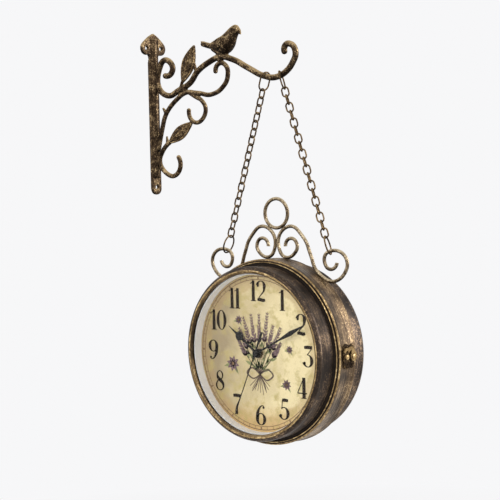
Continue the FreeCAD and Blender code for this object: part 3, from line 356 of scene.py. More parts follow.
paintSet = {  # two tones, scale of the clouds, roughness, grain, then metallic and shine
    # the groove between drum and band is painted near black as its shade
    "grooveDark": ((0.007, 0.005, 0.004), (0.018, 0.012, 0.008), 120, 0.8, 0.2, 0.0, 0.1),
    "insideBronze": ((0.050, 0.034, 0.022), (0.075, 0.050, 0.032), 60, 0.6, 0.2, 0.3),
    "whiteWall": ((0.80, 0.79, 0.76), (0.86, 0.85, 0.83), 40, 0.5, 0.08),
    "handBlack": ((0.005, 0.005, 0.004), (0.011, 0.010, 0.009), 220, 0.45, 0.15, 0.0, 0.15),
    "movementBlack": ((0.016, 0.016, 0.017), (0.028, 0.028, 0.030), 160, 0.55, 0.4),
    "knobGrey": ((0.050, 0.050, 0.052), (0.075, 0.075, 0.078), 160, 0.5, 0.3),
    "washerFibre": ((0.42, 0.33, 0.18), (0.50, 0.40, 0.23), 300, 0.7, 0.15),
    "nutBronze": ((0.085, 0.060, 0.032), (0.13, 0.092, 0.050), 300, 0.34, 0.15, 0.6),
    "contactSteel": ((0.46, 0.46, 0.45), (0.58, 0.58, 0.57), 300, 0.32, 0.15, 0.9),
    "cellWrap": ((0.075, 0.10, 0.13), (0.10, 0.13, 0.16), 90, 0.34, 0.1, 0.3),
    "inkBlack": ((0.013, 0.009, 0.006), (0.032, 0.021, 0.013), 420, 0.7, 0.0, 0.0, 0.1),
    "trackBrown": ((0.13, 0.068, 0.030), (0.24, 0.14, 0.065), 260, 0.72, 0.0),
    "stemSepia": ((0.060, 0.038, 0.026), (0.12, 0.075, 0.050), 320, 0.72, 0.0),
    "leafGreen": ((0.15, 0.17, 0.060), (0.28, 0.29, 0.12), 240, 0.72, 0.0),
    "petalMauve": ((0.085, 0.048, 0.055), (0.22, 0.135, 0.140), 380, 0.72, 0.0),
}
finishes = {"clearGlass": clearGlass("clearGlass"), "frontPaper": parchment("frontPaper", 0.0),
            "rearPaper": parchment("rearPaper", pi)}
for make, rows in ((streakedBronze, streakSet), (castBronze, castSet), (speckledPaint, paintSet)):
    finishes.update({name: make(name, *values) for name, values in rows.items()})
print("materials made", len(finishes))


# making pieces

def linked(name, data):
    piece = bpy.data.objects.new(name, data)
    scene.collection.objects.link(piece)
    return piece


def coat(mesh, finish):
    mesh.materials.clear()
    mesh.materials.append(finishes[finish])


def dress(finish, *names):
    for name in names:
        coat(nodes[name].data, finish)


def settle(name, mesh, body, replaced=(), finish=None):
    # a finished piece sits at the origin with its place in its mesh
    piece = linked(name, mesh)
    if finish:
        coat(mesh, finish)
    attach(piece, body)
    if replaced:
        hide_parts(*replaced)


def meshOf(name, verts, polygons, smooth=True):
    mesh = bpy.data.meshes.new(name)
    mesh.from_pydata(verts, [], polygons)
    mesh.validate()
    mesh.polygons.foreach_set("use_smooth", [smooth] * len(mesh.polygons))
    mesh.update()
    return mesh


def outward(mesh, merge=0.0):
    shape = bmesh.new()
    shape.from_mesh(mesh)
    if merge:
        bmesh.ops.remove_doubles(shape, verts=shape.verts, dist=merge)
    bmesh.ops.recalc_face_normals(shape, faces=shape.faces)
    shape.to_mesh(mesh)
    shape.free()
    return mesh


def evaluated(piece):
    # plain mesh of what an object's modifiers make; the object itself goes
    bpy.context.view_layer.update()
    graph = bpy.context.evaluated_depsgraph_get()
    mesh = bpy.data.meshes.new_from_object(piece.evaluated_get(graph))
    bpy.data.objects.remove(piece)
    return mesh


def joinedMesh(name, meshes):
    # several meshes as one, each with the materials that it brings
    shape = bmesh.new()
    finished = []
    for mesh in meshes:
        first = len(shape.faces)
        shape.from_mesh(mesh)
        shape.faces.ensure_lookup_table()
        for face in list(shape.faces)[first:]:
            face.material_index += len(finished)
        finished += list(mesh.materials) or [None]
    result = bpy.data.meshes.new(name)
    shape.to_mesh(result)
    shape.free()
    for material in finished:
        result.materials.append(material)
    return result


def patternTree():
    # one copy of a piece on every point, turned and grown by that point's attributes
    tree = bpy.data.node_groups.new("repeatPiece", "GeometryNodeTree")
    sockets = {}
    for label, kind in (("Points", "Geometry"), ("Piece", "Object"), ("Finish", "Material")):
        socket = tree.interface.new_socket(label, in_out="INPUT", socket_type="NodeSocket" + kind)
        sockets[label] = socket.identifier
    tree.interface.new_socket("Pieces", in_out="OUTPUT", socket_type="NodeSocketGeometry")
    given, made = add(tree, "NodeGroupInput"), add(tree, "NodeGroupOutput")
    piece = add(tree, "GeometryNodeObjectInfo")
    copies = add(tree, "GeometryNodeInstanceOnPoints")
    turn = add(tree, "GeometryNodeInputNamedAttribute", data_type="FLOAT_VECTOR", Name="turn")
    grow = add(tree, "GeometryNodeInputNamedAttribute", data_type="FLOAT", Name="grow")
    angles = add(tree, "FunctionNodeEulerToRotation")
    plain = add(tree, "GeometryNodeRealizeInstances")
    finish = add(tree, "GeometryNodeSetMaterial")
    links = [(given, "Points", copies, "Points"), (given, "Piece", piece, "Object"),
             (piece, "Geometry", copies, "Instance"), (turn, "Attribute", angles, 0),
             (angles, 0, copies, "Rotation"), (grow, "Attribute", copies, "Scale"),
             (copies, "Instances", plain, "Geometry"), (plain, "Geometry", finish, "Geometry"),
             (given, "Finish", finish, "Material"), (finish, "Geometry", made, "Pieces")]
    for source, label, target, socket in links:
        feed(source.outputs[label], target.inputs[socket])
    return tree, sockets


pattern, patternSockets = patternTree()


def repeated(name, spots, motif, finish):
    # spots are (place, turn, growth); the motif is a small mesh about its own origin
    places, turns, growths = (list(values) for values in zip(*spots))
    points = bpy.data.meshes.new(name + "Points")
    points.from_pydata(places, [], [])
    turn = points.attributes.new("turn", "FLOAT_VECTOR", "POINT")
    turn.data.foreach_set("vector", [value for angles in turns for value in angles])
    grow = points.attributes.new("grow", "FLOAT", "POINT")
    grow.data.foreach_set("value", growths)
    holder, carrier = linked(name + "Motif", motif), linked(name, points)
    modifier = carrier.modifiers.new("repeat", "NODES")
    modifier.node_group = pattern
    modifier[patternSockets["Piece"]] = holder
    modifier[patternSockets["Finish"]] = finishes[finish]
    result = evaluated(carrier)
    bpy.data.objects.remove(holder)
    return result


def facing(face, x, depth, z):
    # point on one side of the clock, from its centre, with depth towards that side's reader
    turn = -1 if face == "front" else 1
    shift = rearShift if face == "rear" else 0.0
    return (clockCentre.x - turn * x * mm, turn * depth * mm + shift, clockCentre.z + z * mm)


def bowed(start, end, radius, steps=10):
    # points of an arc that bulges to the left of its way
    start, end = Vector(start), Vector(end)
    chord = end - start
    left = Vector((-chord.y, chord.x)).normalized()
    centre = (start + end) / 2 - left * sqrt(radius ** 2 - (chord.length / 2) ** 2)
    first = atan2(start.y - centre.y, start.x - centre.x)
    last = atan2(end.y - centre.y, end.x - centre.x)
    if last > first:
        last -= 2 * pi
    angles = [first + (last - first) * step / steps for step in range(steps + 1)]
    return [(centre.x + radius * cos(angle), centre.y + radius * sin(angle)) for angle in angles]


def fullTurn(steps):
    return [2 * pi * step / steps for step in range(steps)]


def smoothLine(points, steps=8):
    # even curve through a few points
    spots = [Vector(point) for point in points]
    ends = [spots[0] * 2 - spots[1], *spots, spots[-1] * 2 - spots[-2]]
    line = []
    for before, one, two, after in zip(ends, ends[1:], ends[2:], ends[3:]):
        bend = 2 * before - 5 * one + 4 * two - after
        twist = 3 * one - before - 3 * two + after
        for step in range(steps):
            t = step / steps
            line.append(0.5 * ((2 * one) + (two - before) * t + bend * t ** 2 + twist * t ** 3))
    return line + [spots[-1]]


def skinOf(rings, sides, closed=False, first=0):
    # four-sided faces between rings of points; closed joins the last ring to the first
    polygons = []
    for ring in range(rings if closed else rings - 1):
        low, high = first + ring * sides, first + (ring + 1) % rings * sides
        for step in range(sides):
            following = (step + 1) % sides
            polygons.append((low + step, low + following, high + following, high + step))
    return polygons


def tubeMesh(name, line, radii, sides=8):
    # closed round tube along a line, with a radius at each point
    verts = []
    for number, spot in enumerate(line):
        way = (line[min(number + 1, len(line) - 1)] - line[max(number - 1, 0)]).normalized()
        aside = way.orthogonal().normalized() if number == 0 else (aside - way * aside.dot(way)).normalized()
        upward = way.cross(aside)
        for angle in fullTurn(sides):
            verts.append(spot + (aside * cos(angle) + upward * sin(angle)) * radii[number])
    ends = [tuple(reversed(range(sides))), tuple(range(len(verts) - sides, len(verts)))]
    return outward(meshOf(name, verts, skinOf(len(line), sides) + ends))


def domeMesh(name, radius, height, rings=5, sides=16):
    # shallow dome about the Z axis, closed below
    verts = [(0, 0, height)]
    for ring in range(1, rings + 1):
        angle = pi / 2 * ring / rings
        reach = radius * sin(angle)
        for turn in fullTurn(sides):
            verts.append((reach * cos(turn), reach * sin(turn), height * cos(angle)))
    top = [(0, 1 + step, 1 + (step + 1) % sides) for step in range(sides)]
    foot = tuple(reversed(range(len(verts) - sides, len(verts))))
    return outward(meshOf(name, verts, [*top, *skinOf(rings, sides, first=1), foot]))


# cast bracket: feathers and eyes on the bird, one skin over it all, then ridges on the leaves

bracketSet = {
    "voxel": 0.00068, "smoothing": 2,
    # leaves as base, tip and width, and the ridges on them
    "leaves": [((49, -45), (70.5, -0.5), 18), ((24, -115), (65, -91), 15)],
    "crown": 2.4, "edge": 1.0, "proud": 0.1, "rim": 1.0, "rimInset": 0.6, "midrib": 1.3, "ridgeSteps": 14,
    "ridgeFrom": 0.04, "ridgeTaper": 0.5, "endFall": 0.6,
    "vein": 1.0, "veinShares": (0.2, 0.3375, 0.475, 0.6125, 0.75), "veinReach": 0.36,
    "veinLead": 0.06, "veinRise": 0.13, "veinSteps": 5, "veinTaper": (0.85, 0.45),
    # bird, measured from its perch; the wing as base, tip and width
    "perch": (111, -20), "wing": ((-10, 13.5), (23, 22), 12), "wingSide": 7.2,
    "feather": (1.9, 1.0), "featherRows": 9, "rowCounts": (2, 3), "rowFrom": 0.2, "rowStep": 0.075,
    "featherGap": 0.312, "wingFall": 0.175, "wingFlat": 0.5,
    "eye": (32.5, 5.0, 32), "eyeGrowth": 0.75,
    # nape, tail, base and beak as lines with a radius at each end
    "fuller": [([(28.5, 0, 32), (9, 0, 24), (-12, 0, 16)], (4.4, 4.0)),
               ([(-10, 0, 14.5), (-20, 0, 17), (-28, 0, 19.5)], (3.6, 3.2)),
               ([(-12, 0, 13), (-3, 0, 8), (6, 0, 7), (14, 0, 9)], (3.2, 4.2)),
               ([(31, 0, 32), (35.5, 0, 29.5), (38.5, 0, 26)], (5.2, 1.3))],
    # how far breast and head are drawn back, and the length and height over which that sets in
    "birdReach": 45, "drawn": 7.0, "drawnSpan": (2, 28), "drawnRise": (3.5, 6),
}


def eased(value, low, high):
    share = min(max((value - low) / (high - low), 0), 1)
    return share * share * (3 - 2 * share)


def uprightBird(mesh):
    # breast and head drawn back over the perch, so that the bird stands slim and upright
    perchX, perchZ = bracketSet["perch"]
    for vert in mesh.vertices:
        along, rise = vert.co.x / mm - perchX, vert.co.z / mm - perchZ
        if along < bracketSet["birdReach"]:
            share = eased(along, *bracketSet["drawnSpan"]) * eased(rise, *bracketSet["drawnRise"])
            vert.co.x -= bracketSet["drawn"] * mm * share


def upright(spot):
    return Vector((spot[0], 0, spot[1]))


def leafRelief(base, tip, width):
    # midrib, side veins and a raised rim on both crowned faces of a leaf
    start = upright(base)
    along = upright(tip) - start
    aside = along.cross(Vector((0, 1, 0))).normalized()
    crown, edge, inset, steps = (bracketSet[key] for key in ("crown", "edge", "rimInset", "ridgeSteps"))

    def halfWidth(share):
        return width / 2 * sin(pi * share)

    def lifted(side, share, away):
        # point on one face, at a share of the length and so far from the middle line
        fall = abs(away) / max(halfWidth(share), 0.1)
        low = crown - (crown - edge) * min(fall + 2 * abs(share - 0.5) * bracketSet["endFall"], 1)
        lift = Vector((0, side * (low + bracketSet["proud"]), 0))
        return (start + along * share + aside * away + lift) * mm

    first, veinSteps = bracketSet["ridgeFrom"], bracketSet["veinSteps"]
    shares = [first + (1 - 2 * first) * step / steps for step in range(steps + 1)]
    slim = [1 - bracketSet["ridgeTaper"] * abs(2 * share - 1) for share in shares]
    rise, parts = bracketSet["veinRise"], [step / veinSteps for step in range(veinSteps + 1)]  # of a vein
    thick, taper = bracketSet["veinTaper"]
    pieces = []
    for side in (-1, 1):
        for way, ridge in ((-1, "rim"), (0, "midrib"), (1, "rim")):
            line = [lifted(side, share, way * (halfWidth(share) - inset)) for share in shares]
            radii = [bracketSet[ridge] * mm * part for part in slim]
            pieces.append(tubeMesh(ridge, line, radii, sides=6))
        for share in bracketSet["veinShares"]:
            reach = width * bracketSet["veinReach"] * sin(pi * (share + bracketSet["veinLead"]))
            for way in (-1, 1):
                line = [lifted(side, share + rise * part, way * reach * part) for part in parts]
                radii = [bracketSet["vein"] * mm * (thick - taper * part) for part in parts]
                pieces.append(tubeMesh("vein", line, radii, sides=6))
    return pieces


def birdRelief():
    # rows of feathers on each folded wing, a round eye on each side, and what makes the bird fuller
    perch = upright(bracketSet["perch"])
    wingBase, wingTip, width = bracketSet["wing"]
    base = perch + upright(wingBase)
    along = perch + upright(wingTip) - base
    aside = along.cross(Vector((0, 1, 0))).normalized()
    eyeX, eyeY, eyeZ = bracketSet["eye"]
    spots = []
    for side in (-1, 1):
        outwardTurn = (-side * pi / 2, 0, 0)
        for row in range(bracketSet["featherRows"]):
            share = bracketSet["rowFrom"] + bracketSet["rowStep"] * row
            count = bracketSet["rowCounts"][row % 2]
            for number in range(count):
                away = (number - (count - 1) / 2) * width * bracketSet["featherGap"] * sin(pi * share)
                swell = bracketSet["crown"] * (1 - bracketSet["wingFlat"] * abs(share - 0.5))
                depth = bracketSet["wingSide"] + swell - bracketSet["wingFall"] * abs(away)
                spot = base + along * share + aside * away + Vector((0, side * depth, 0))
                spots.append((spot * mm, outwardTurn, 1.0))
        eye = perch + Vector((eyeX, side * eyeY, eyeZ))
        spots.append((eye * mm, outwardTurn, bracketSet["eyeGrowth"]))
    fuller = []
    for line, (first, last) in bracketSet["fuller"]:
        places = smoothLine([(perch + Vector(spot)) * mm for spot in line], steps=6)
        radii = [(first + (last - first) * step / (len(places) - 1)) * mm for step in range(len(places))]
        fuller.append(tubeMesh("fuller", places, radii, sides=12))
    feather = domeMesh("feather", *[size * mm for size in bracketSet["feather"]], rings=4, sides=10)
    return [repeated("feathers", spots, feather, "castBracket"), *fuller]


def castSkin(node, relief):
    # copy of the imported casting, merged with its relief, remeshed into one skin and rounded
    mesh = nodes[node].data.copy()
    mesh.materials.clear()
    outward(mesh, 1e-6)
    mesh = joinedMesh("castSkin", [mesh, *relief])
    mesh.materials.clear()
    uprightBird(mesh)
    piece = linked("castSkin", mesh)
    remesh = piece.modifiers.new("skin", "REMESH")
    remesh.mode = "VOXEL"
    remesh.voxel_size = bracketSet["voxel"]
    remesh.use_smooth_shade = True
    rounding = piece.modifiers.new("round", "SMOOTH")
    rounding.iterations = bracketSet["smoothing"]
    return evaluated(piece)


skin = castSkin("wall_bracket", birdRelief())
settle("scrollBracket", skin, "bracket", ("wall_bracket",), "castBracket")
ridges = [piece for words in bracketSet["leaves"] for piece in leafRelief(*words)]
settle("leafVeins", joinedMesh("leafVeins", ridges), "bracket", (), "veinGold")
dress("hangerBronze", "hanger_left_scroll", "hanger_right_scroll", "hanger_ring")
for side in ("left", "right"):
    dress("chainBronze", f"{side}_top_link", f"{side}_chain_links", f"{side}_ring")
print("bracket cast, chains and hanger dressed")


# case halves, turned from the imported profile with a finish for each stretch

caseSet = {
    "band": 104.0, "drum": 97.0, "lip": 89.5, "depth": 50.0, "shoulder": 23.5, "bead": 1.5, "bezel": 7.0,
    "wall": 1.0, "rim": 46.8, "edge": 0.25, "turns": 240, "sharpAngle": 38,
    # in bead radii: rounds of the two beads, where the second lies, and the step within
    "beadRounds": (1.2, 1.1), "secondFrom": 1.6, "secondTo": (3.2, 1.2), "innerStep": (1.1, 0.9),
    # in bezel widths: how far in the crown is, and the rounds outside and inside it
    "crownIn": 0.36, "rolls": (0.72, 0.6), "crownSink": 0.4, "lipSink": 1.8,
    "seam": {"front": -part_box("front_case")[1].y / mm, "rear": (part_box("rear_case")[0].y - rearShift) / mm},
}


def caseStretches(seam):
    # outline of a half as (radius, height) points, from the seam over the outside and back within
    band, drum, lip, depth, shoulder = (caseSet[key] for key in ("band", "drum", "lip", "depth", "shoulder"))
    bead, bezel, wall, rim, edge = (caseSet[key] for key in ("bead", "bezel", "wall", "rim", "edge"))
    (firstRound, lastRound), (outerRound, innerRound) = caseSet["beadRounds"], caseSet["rolls"]
    (inward, onward), (stepLow, stepHigh) = caseSet["secondTo"], caseSet["innerStep"]
    crown = (drum - bezel * caseSet["crownIn"], -(depth - caseSet["crownSink"]))
    firstBead = bowed((band, -(shoulder - 2 * bead)), (band - bead, -shoulder), firstRound * bead)
    lastEnd = (band - inward * bead, -(shoulder + onward * bead))
    lastBead = bowed((band - caseSet["secondFrom"] * bead, -shoulder), lastEnd, lastRound * bead)
    outerRoll = bowed((drum, -(depth - bezel)), crown, bezel * outerRound)
    innerRoll = bowed(crown, (lip, -(depth - caseSet["lipSink"])), bezel * innerRound)
    return [
        ("bandBronze", [(band - edge, -seam), (band, -(seam + edge)), *firstBead[:5]]),
        ("goldBead", firstBead[5:9]),
        ("bandBronze", firstBead[9:]),
        # painted shade in the groove at the foot of the shoulder, on both sides of the second bead
        ("grooveDark", lastBead[:4]),
        ("goldBead", lastBead[4:7]),
        ("grooveDark", [*lastBead[7:], (drum, -(shoulder + 2 * bead))]),
        ("drumBronze", [(drum, -(depth - bezel)), *outerRoll[1:], *innerRoll[1:3]]),
        ("goldBead", innerRoll[3:5]),
        ("rimGold", innerRoll[5:7]),
        ("bezelBronze", [*innerRoll[7:], (lip, -rim)]),
        ("insideBronze", [(drum - wall, -rim), (drum - wall, -(shoulder + stepLow * bead)),
                          (band - wall, -(shoulder - stepHigh * bead)), (band - wall, -seam),
                          (band - edge, -seam)]),
    ]


def turnedCase(face):
    line, finishOf = [], []
    for finish, points in caseStretches(caseSet["seam"][face]):
        line += points
        finishOf += [finish] * len(points)
    line, finishOf = line[:-1], finishOf[1:]  # the outline ends on its first point
    turns, used = caseSet["turns"], sorted(set(finishOf))
    verts = []
    for angle in fullTurn(turns):
        for radius, height in line:
            verts.append(facing(face, radius * sin(angle), -height, radius * cos(angle)))
    mesh = meshOf(f"{face}Case", verts, skinOf(turns, len(line), True))
    for finish in used:
        mesh.materials.append(finishes[finish])
    mesh.polygons.foreach_set("material_index", [used.index(finish) for finish in finishOf] * turns)
    outward(mesh)
    mesh.set_sharp_from_angle(angle=radians(caseSet["sharpAngle"]))
    settle(f"{face}TurnedCase", mesh, faces[face], (f"{face}_case",))


for face in faces:
    turnedCase(face)
print("case halves turned")


# print on the dials: numerals, minute track and a bunch of sprigs, in thin layers of ink

printSet = {
    "dial": 34.0, "ink": 0.03, "layer": 0.05,
    "layers": {"stems": 1, "blades": 1, "florets": 2, "petals": 2, "ticks": 2, "track": 2, "bow": 3,
               "hourMarks": 3, "hearts": 4, "numerals": 5},
    # numerals: ring of their centres, height, width and stroke; room that each figure takes
    "ring": 69.5, "tall": 23.0, "wide": 1.16, "thick": 0.165, "thin": 0.04, "swell": 2.2,
    "usual": 0.52, "advance": {"1": 0.31}, "lead": {"1": -0.10},
    "trackInner": 82.2, "trackOuter": 86.0, "trackLine": 0.6, "outerLine": 1.6, "tick": 0.55,
    "diamond": (1.3, 1.9),
}


def ribbon(points, widths, steps=6):
    # flat stroke through points, its width eased from one given width to the next
    line = smoothLine([(*point, 0) for point in points], steps)
    verts = []
    for number, spot in enumerate(line):
        way = (line[min(number + 1, len(line) - 1)] - line[max(number - 1, 0)]).normalized()
        share = number / (len(line) - 1) * (len(widths) - 1)
        low = min(int(share), len(widths) - 2)
        width = widths[low] + (widths[low + 1] - widths[low]) * (share - low)
        aside = Vector((way.y, -way.x, 0)) * width / 2
        verts += [(spot + aside).xy, (spot - aside).xy]
    return verts, [(2 * step, 2 * step + 2, 2 * step + 3, 2 * step + 1) for step in range(len(line) - 1)]


def bowl(centre, across, tall, first, last, thick, thin, steps=40):
    # stroke of an oval that swells at its sides, between two angles in degrees
    points, widths = [], []
    for step in range(steps + 1):
        angle = radians(first + (last - first) * step / steps)
        points.append((centre[0] + across * cos(angle), centre[1] + tall * sin(angle)))
        widths.append(thin + (thick - thin) * abs(cos(angle)) ** printSet["swell"])
    return ribbon(points, widths, steps=1)


def blob(x, z, radius, sides=16):
    verts = [(x + radius * cos(angle), z + radius * sin(angle)) for angle in fullTurn(sides)]
    return verts, [tuple(range(sides))]


def bar(left, right, middle, height):
    low, high = middle - height / 2, middle + height / 2
    return [(left, low), (right, low), (right, high), (left, high)], [(0, 1, 2, 3)]


def turnedOver(strokes):
    return [([(printSet["usual"] - x, 1 - z) for x, z in verts], polygons) for verts, polygons in strokes]


def figureStrokes(thick, thin):
    # strokes of each upright figure in a box of height 1: fat stems, hairline joins, ball ends
    hairline = [thin, thin, thin]
    six = [bowl((0.26, 0.3), 0.2, 0.28, 0, 360, thick, thin),
           ribbon([(0.062, 0.31), (0.085, 0.6), (0.2, 0.86), (0.34, 0.965), (0.42, 0.93)],
                  [thick, thick * 0.95, thick * 0.5, thin, thin]),
           blob(0.41, 0.875, 0.058)]
    return {
        "0": [bowl((0.26, 0.5), 0.2, 0.475, 0, 360, thick, thin)],
        "1": [ribbon([(0.24, 0.02), (0.24, 0.55), (0.25, 1.0)], [thick, thick, thick * 0.8]),
              ribbon([(0.24, 0.985), (0.17, 0.9), (0.07, 0.85)], [thick * 0.6, thin, thin]),
              bar(0.1, 0.38, 0.016, thin)],
        "2": [bowl((0.25, 0.74), 0.19, 0.245, 170, -8, thick, thin),
              blob(0.085, 0.755, 0.06),
              ribbon([(0.437, 0.72), (0.4, 0.5), (0.22, 0.28), (0.07, 0.08)],
                     [thick, thick * 0.55, thin, thin]),
              ribbon([(0.05, 0.07), (0.2, 0.085), (0.35, 0.05), (0.47, 0.08)],
                     [thick * 0.7, thick, thick, thick * 0.8])],
        "3": [ribbon([(0.05, 0.93), (0.2, 0.945), (0.46, 0.94)], [thick * 0.8, thick, thick * 0.9]),
              ribbon([(0.45, 0.92), (0.34, 0.76), (0.19, 0.575)], hairline),
              bowl((0.22, 0.3), 0.21, 0.285, 98, -165, thick, thin),
              blob(0.05, 0.2, 0.06)],
        "4": [ribbon([(0.34, 0.0), (0.34, 0.5), (0.345, 1.0)], [thick, thick, thick]),
              ribbon([(0.33, 0.98), (0.17, 0.62), (0.01, 0.27)], hairline),
              bar(0.0, 0.5, 0.25, thin * 1.4),
              bar(0.2, 0.48, 0.016, thin)],
        "5": [ribbon([(0.13, 0.93), (0.26, 0.945), (0.44, 0.93)], [thick * 0.8, thick, thick * 0.8]),
              ribbon([(0.14, 0.95), (0.12, 0.72), (0.1, 0.49)], hairline),
              bowl((0.21, 0.3), 0.215, 0.29, 128, -165, thick, thin),
              blob(0.04, 0.2, 0.06)],
        "6": six,
        "7": [ribbon([(0.04, 0.92), (0.2, 0.945), (0.46, 0.92)], [thick * 0.9, thick, thick]),
              ribbon([(0.45, 0.92), (0.33, 0.62), (0.23, 0.34), (0.2, 0.0)],
                     [thin, thin * 1.6, thick * 0.7, thick])],
        "8": [bowl((0.25, 0.765), 0.155, 0.215, 0, 360, thin * 2, thin),
              bowl((0.25, 0.275), 0.2, 0.255, 0, 360, thin * 2.2, thin),
              ribbon([(0.1, 0.84), (0.13, 0.66), (0.26, 0.53), (0.4, 0.38), (0.43, 0.2)],
                     [thin, thick * 0.9, thick * 1.1, thick * 0.9, thin])],
        "9": turnedOver(six),
    }


def inkDepth(name):
    return printSet["dial"] + printSet["layer"] * printSet["layers"][name]


def dialTurn(face, angle):
    return (0, angle, 0 if face == "front" else pi)


def flatMesh(name, face, strokes, finish):
    # ink on one dial: flat strokes in millimetres, a little proud of the paper
    verts, polygons = [], []
    for spots, sides in strokes:
        first = len(verts)
        verts += [facing(face, x, inkDepth(name), z) for x, z in spots]
        polygons += [tuple(first + corner for corner in side) for side in sides]
    mesh = meshOf(name, verts, polygons, False)
    coat(mesh, finish)
    piece = linked(name + "Flat", mesh)
    body = piece.modifiers.new("ink", "SOLIDIFY")
    body.thickness = printSet["ink"] * mm
    body.offset = 1.0
    return evaluated(piece)


def numeralStrokes():
    strokes = []
    figures = figureStrokes(printSet["thick"], printSet["thin"])
    tall, wide = printSet["tall"], printSet["tall"] * printSet["wide"]
    for hour in range(1, 13):
        word, angle = str(hour), radians(30 * hour)
        widths = [printSet["advance"].get(digit, printSet["usual"]) * wide for digit in word]
        left = printSet["ring"] * sin(angle) - sum(widths) / 2
        low = printSet["ring"] * cos(angle) - tall / 2
        for digit, width in zip(word, widths):
            lead = printSet["lead"].get(digit, 0.0) * wide
            for verts, polygons in figures[digit]:
                strokes.append(([(left + lead + x * wide, low + z * tall) for x, z in verts], polygons))
            left += width
    return strokes


def ringStroke(radius, width, steps=180):
    verts, polygons = [], []
    for step, angle in enumerate(fullTurn(steps)):
        for reach in (radius - width / 2, radius + width / 2):
            verts.append((reach * sin(angle), reach * cos(angle)))
        low, high = 2 * step, 2 * ((step + 1) % steps)
        polygons.append((high, high + 1, low + 1, low))
    return verts, polygons


def aroundDial(name, face, count, radius):
    # spots evenly round one dial, each turned towards its centre
    spots = []
    for step in range(count):
        angle = radians(360 / count * step)
        spot = facing(face, radius * sin(angle), inkDepth(name), radius * cos(angle))
        spots.append((spot, dialTurn(face, angle), 1.0))
    return spots


def motifMesh(name, outline):
    # flat motif in millimetres that lies in its own X and Z
    return meshOf(name, [(x * mm, 0, z * mm) for x, z in outline], [tuple(range(len(outline)))], False)


def minuteTrack(face):
    # two rings, sixty strokes between them and a diamond at each hour
    inner, outer, line = (printSet[key] for key in ("trackInner", "trackOuter", "trackLine"))
    rings = [ringStroke(inner, line), ringStroke(outer, line * printSet["outerLine"])]
    half = printSet["tick"] / 2
    tick = motifMesh("tick", [(-half, 0), (half, 0), (half, outer - inner), (-half, outer - inner)])
    across, tall = printSet["diamond"]
    diamond = motifMesh("diamond", [(0, -tall), (across, 0), (0, tall), (-across, 0)])
    minutes = aroundDial("ticks", face, 60, inner)
    hours = aroundDial("hourMarks", face, 12, (inner + outer) / 2)
    return [repeated("ticks", minutes, tick, "trackBrown"),
            repeated("hourMarks", hours, diamond, "trackBrown"),
            flatMesh("track", face, rings, "trackBrown")]


sprigSet = {
    "seed": 7, "tie": (0, -24), "stems": 9, "spread": 40.0, "length": 72.0, "tail": 24.0,
    # how much shorter the outer stems are, ranges of the lengths and tails, bend and spread of the tails
    "shorter": 0.28, "lengths": (0.9, 1.04), "tails": (0.75, 1.0), "bend": (3.5, 1.5), "tailSpread": 1.2,
    "stemWidths": [0.7, 0.9, 0.8, 0.5], "curveSteps": 10, "belly": 0.8,
    "leafSteps": (12, 15, 18), "leaf": (12.0, 3.4), "leafLean": (24, 40), "leafGrowth": (0.75, 1.1),
    "florets": 11, "floretFrom": 20, "floretStep": 0.9, "floret": (6.08, 2.3),
    "floretLean": (28, 52), "floretGrowth": 1.1, "floretLess": 0.055,
    "blossoms": [(-40, -14, 9.5), (38, -33, 6.5), (-30, 36, 5.5), (43, 6, 5.0)],
    "petals": 8, "petal": (8.0, 3.8), "petalTurn": 12, "heart": 0.2, "blossomLeaves": (145, 255),
    "bow": [(0, 0), (-11, 7), (-19, 1), (-10, -5), (0, 0), (11, 6), (19, 0), (10, -6), (0, 0)],
    "bowWidths": [1.2, 2.2, 1.0, 2.2, 1.2],
    "ends": [[(0, 0), (-5, -10), (-12, -19)], [(0, 0), (6, -10), (9, -20)]], "endWidths": [1.6, 1.4, 0.8],
}


def bladeMotif(length, width, steps=8):
    # pointed blade that lies along its own X axis
    shares = [step / steps for step in range(steps + 1)]
    lower = [(length * share, -width / 2 * sin(pi * share ** sprigSet["belly"])) for share in shares]
    return motifMesh("blade", lower + [(x, -z) for x, z in reversed(lower[1:-1])])


def bunch():
    # stems that fan upward from their tie, with the spots of the florets and leaves on them
    chance = random.Random(sprigSet["seed"])
    tie, (bendAside, bendUp) = Vector(sprigSet["tie"]), sprigSet["bend"]
    stems, florets, leaves = [], [], []
    for number in range(sprigSet["stems"]):
        share = number / (sprigSet["stems"] - 1) * 2 - 1
        angle = radians(share * sprigSet["spread"])
        length = sprigSet["length"] * (1 - sprigSet["shorter"] * share ** 2)
        length *= chance.uniform(*sprigSet["lengths"])
        tip = tie + Vector((sin(angle), cos(angle))) * length
        middle = tie + (tip - tie) * 0.5 + Vector((share * bendAside, bendUp))
        spread = angle * sprigSet["tailSpread"]
        below = Vector((sin(spread), cos(spread)))
        foot = tie - below * sprigSet["tail"] * chance.uniform(*sprigSet["tails"])
        line = [tuple(foot), tuple(tie), tuple(middle), tuple(tip)]
        stems.append(ribbon(line, sprigSet["stemWidths"]))
        curve = smoothLine([(*point, 0) for point in line], sprigSet["curveSteps"])
        for step in range(sprigSet["florets"]):
            spot = curve[min(int(sprigSet["floretFrom"] + step * sprigSet["floretStep"]), len(curve) - 1)]
            growth = sprigSet["floretGrowth"] - sprigSet["floretLess"] * step
            for side in (-1, 1):
                lean = angle - side * radians(chance.uniform(*sprigSet["floretLean"]))
                florets.append((spot, lean, growth))
        for step in sprigSet["leafSteps"]:
            side = 1 if (number + step) % 2 else -1
            lean = angle - side * radians(chance.uniform(*sprigSet["leafLean"]))
            leaves.append((curve[step], lean, chance.uniform(*sprigSet["leafGrowth"])))
    return stems, florets, leaves


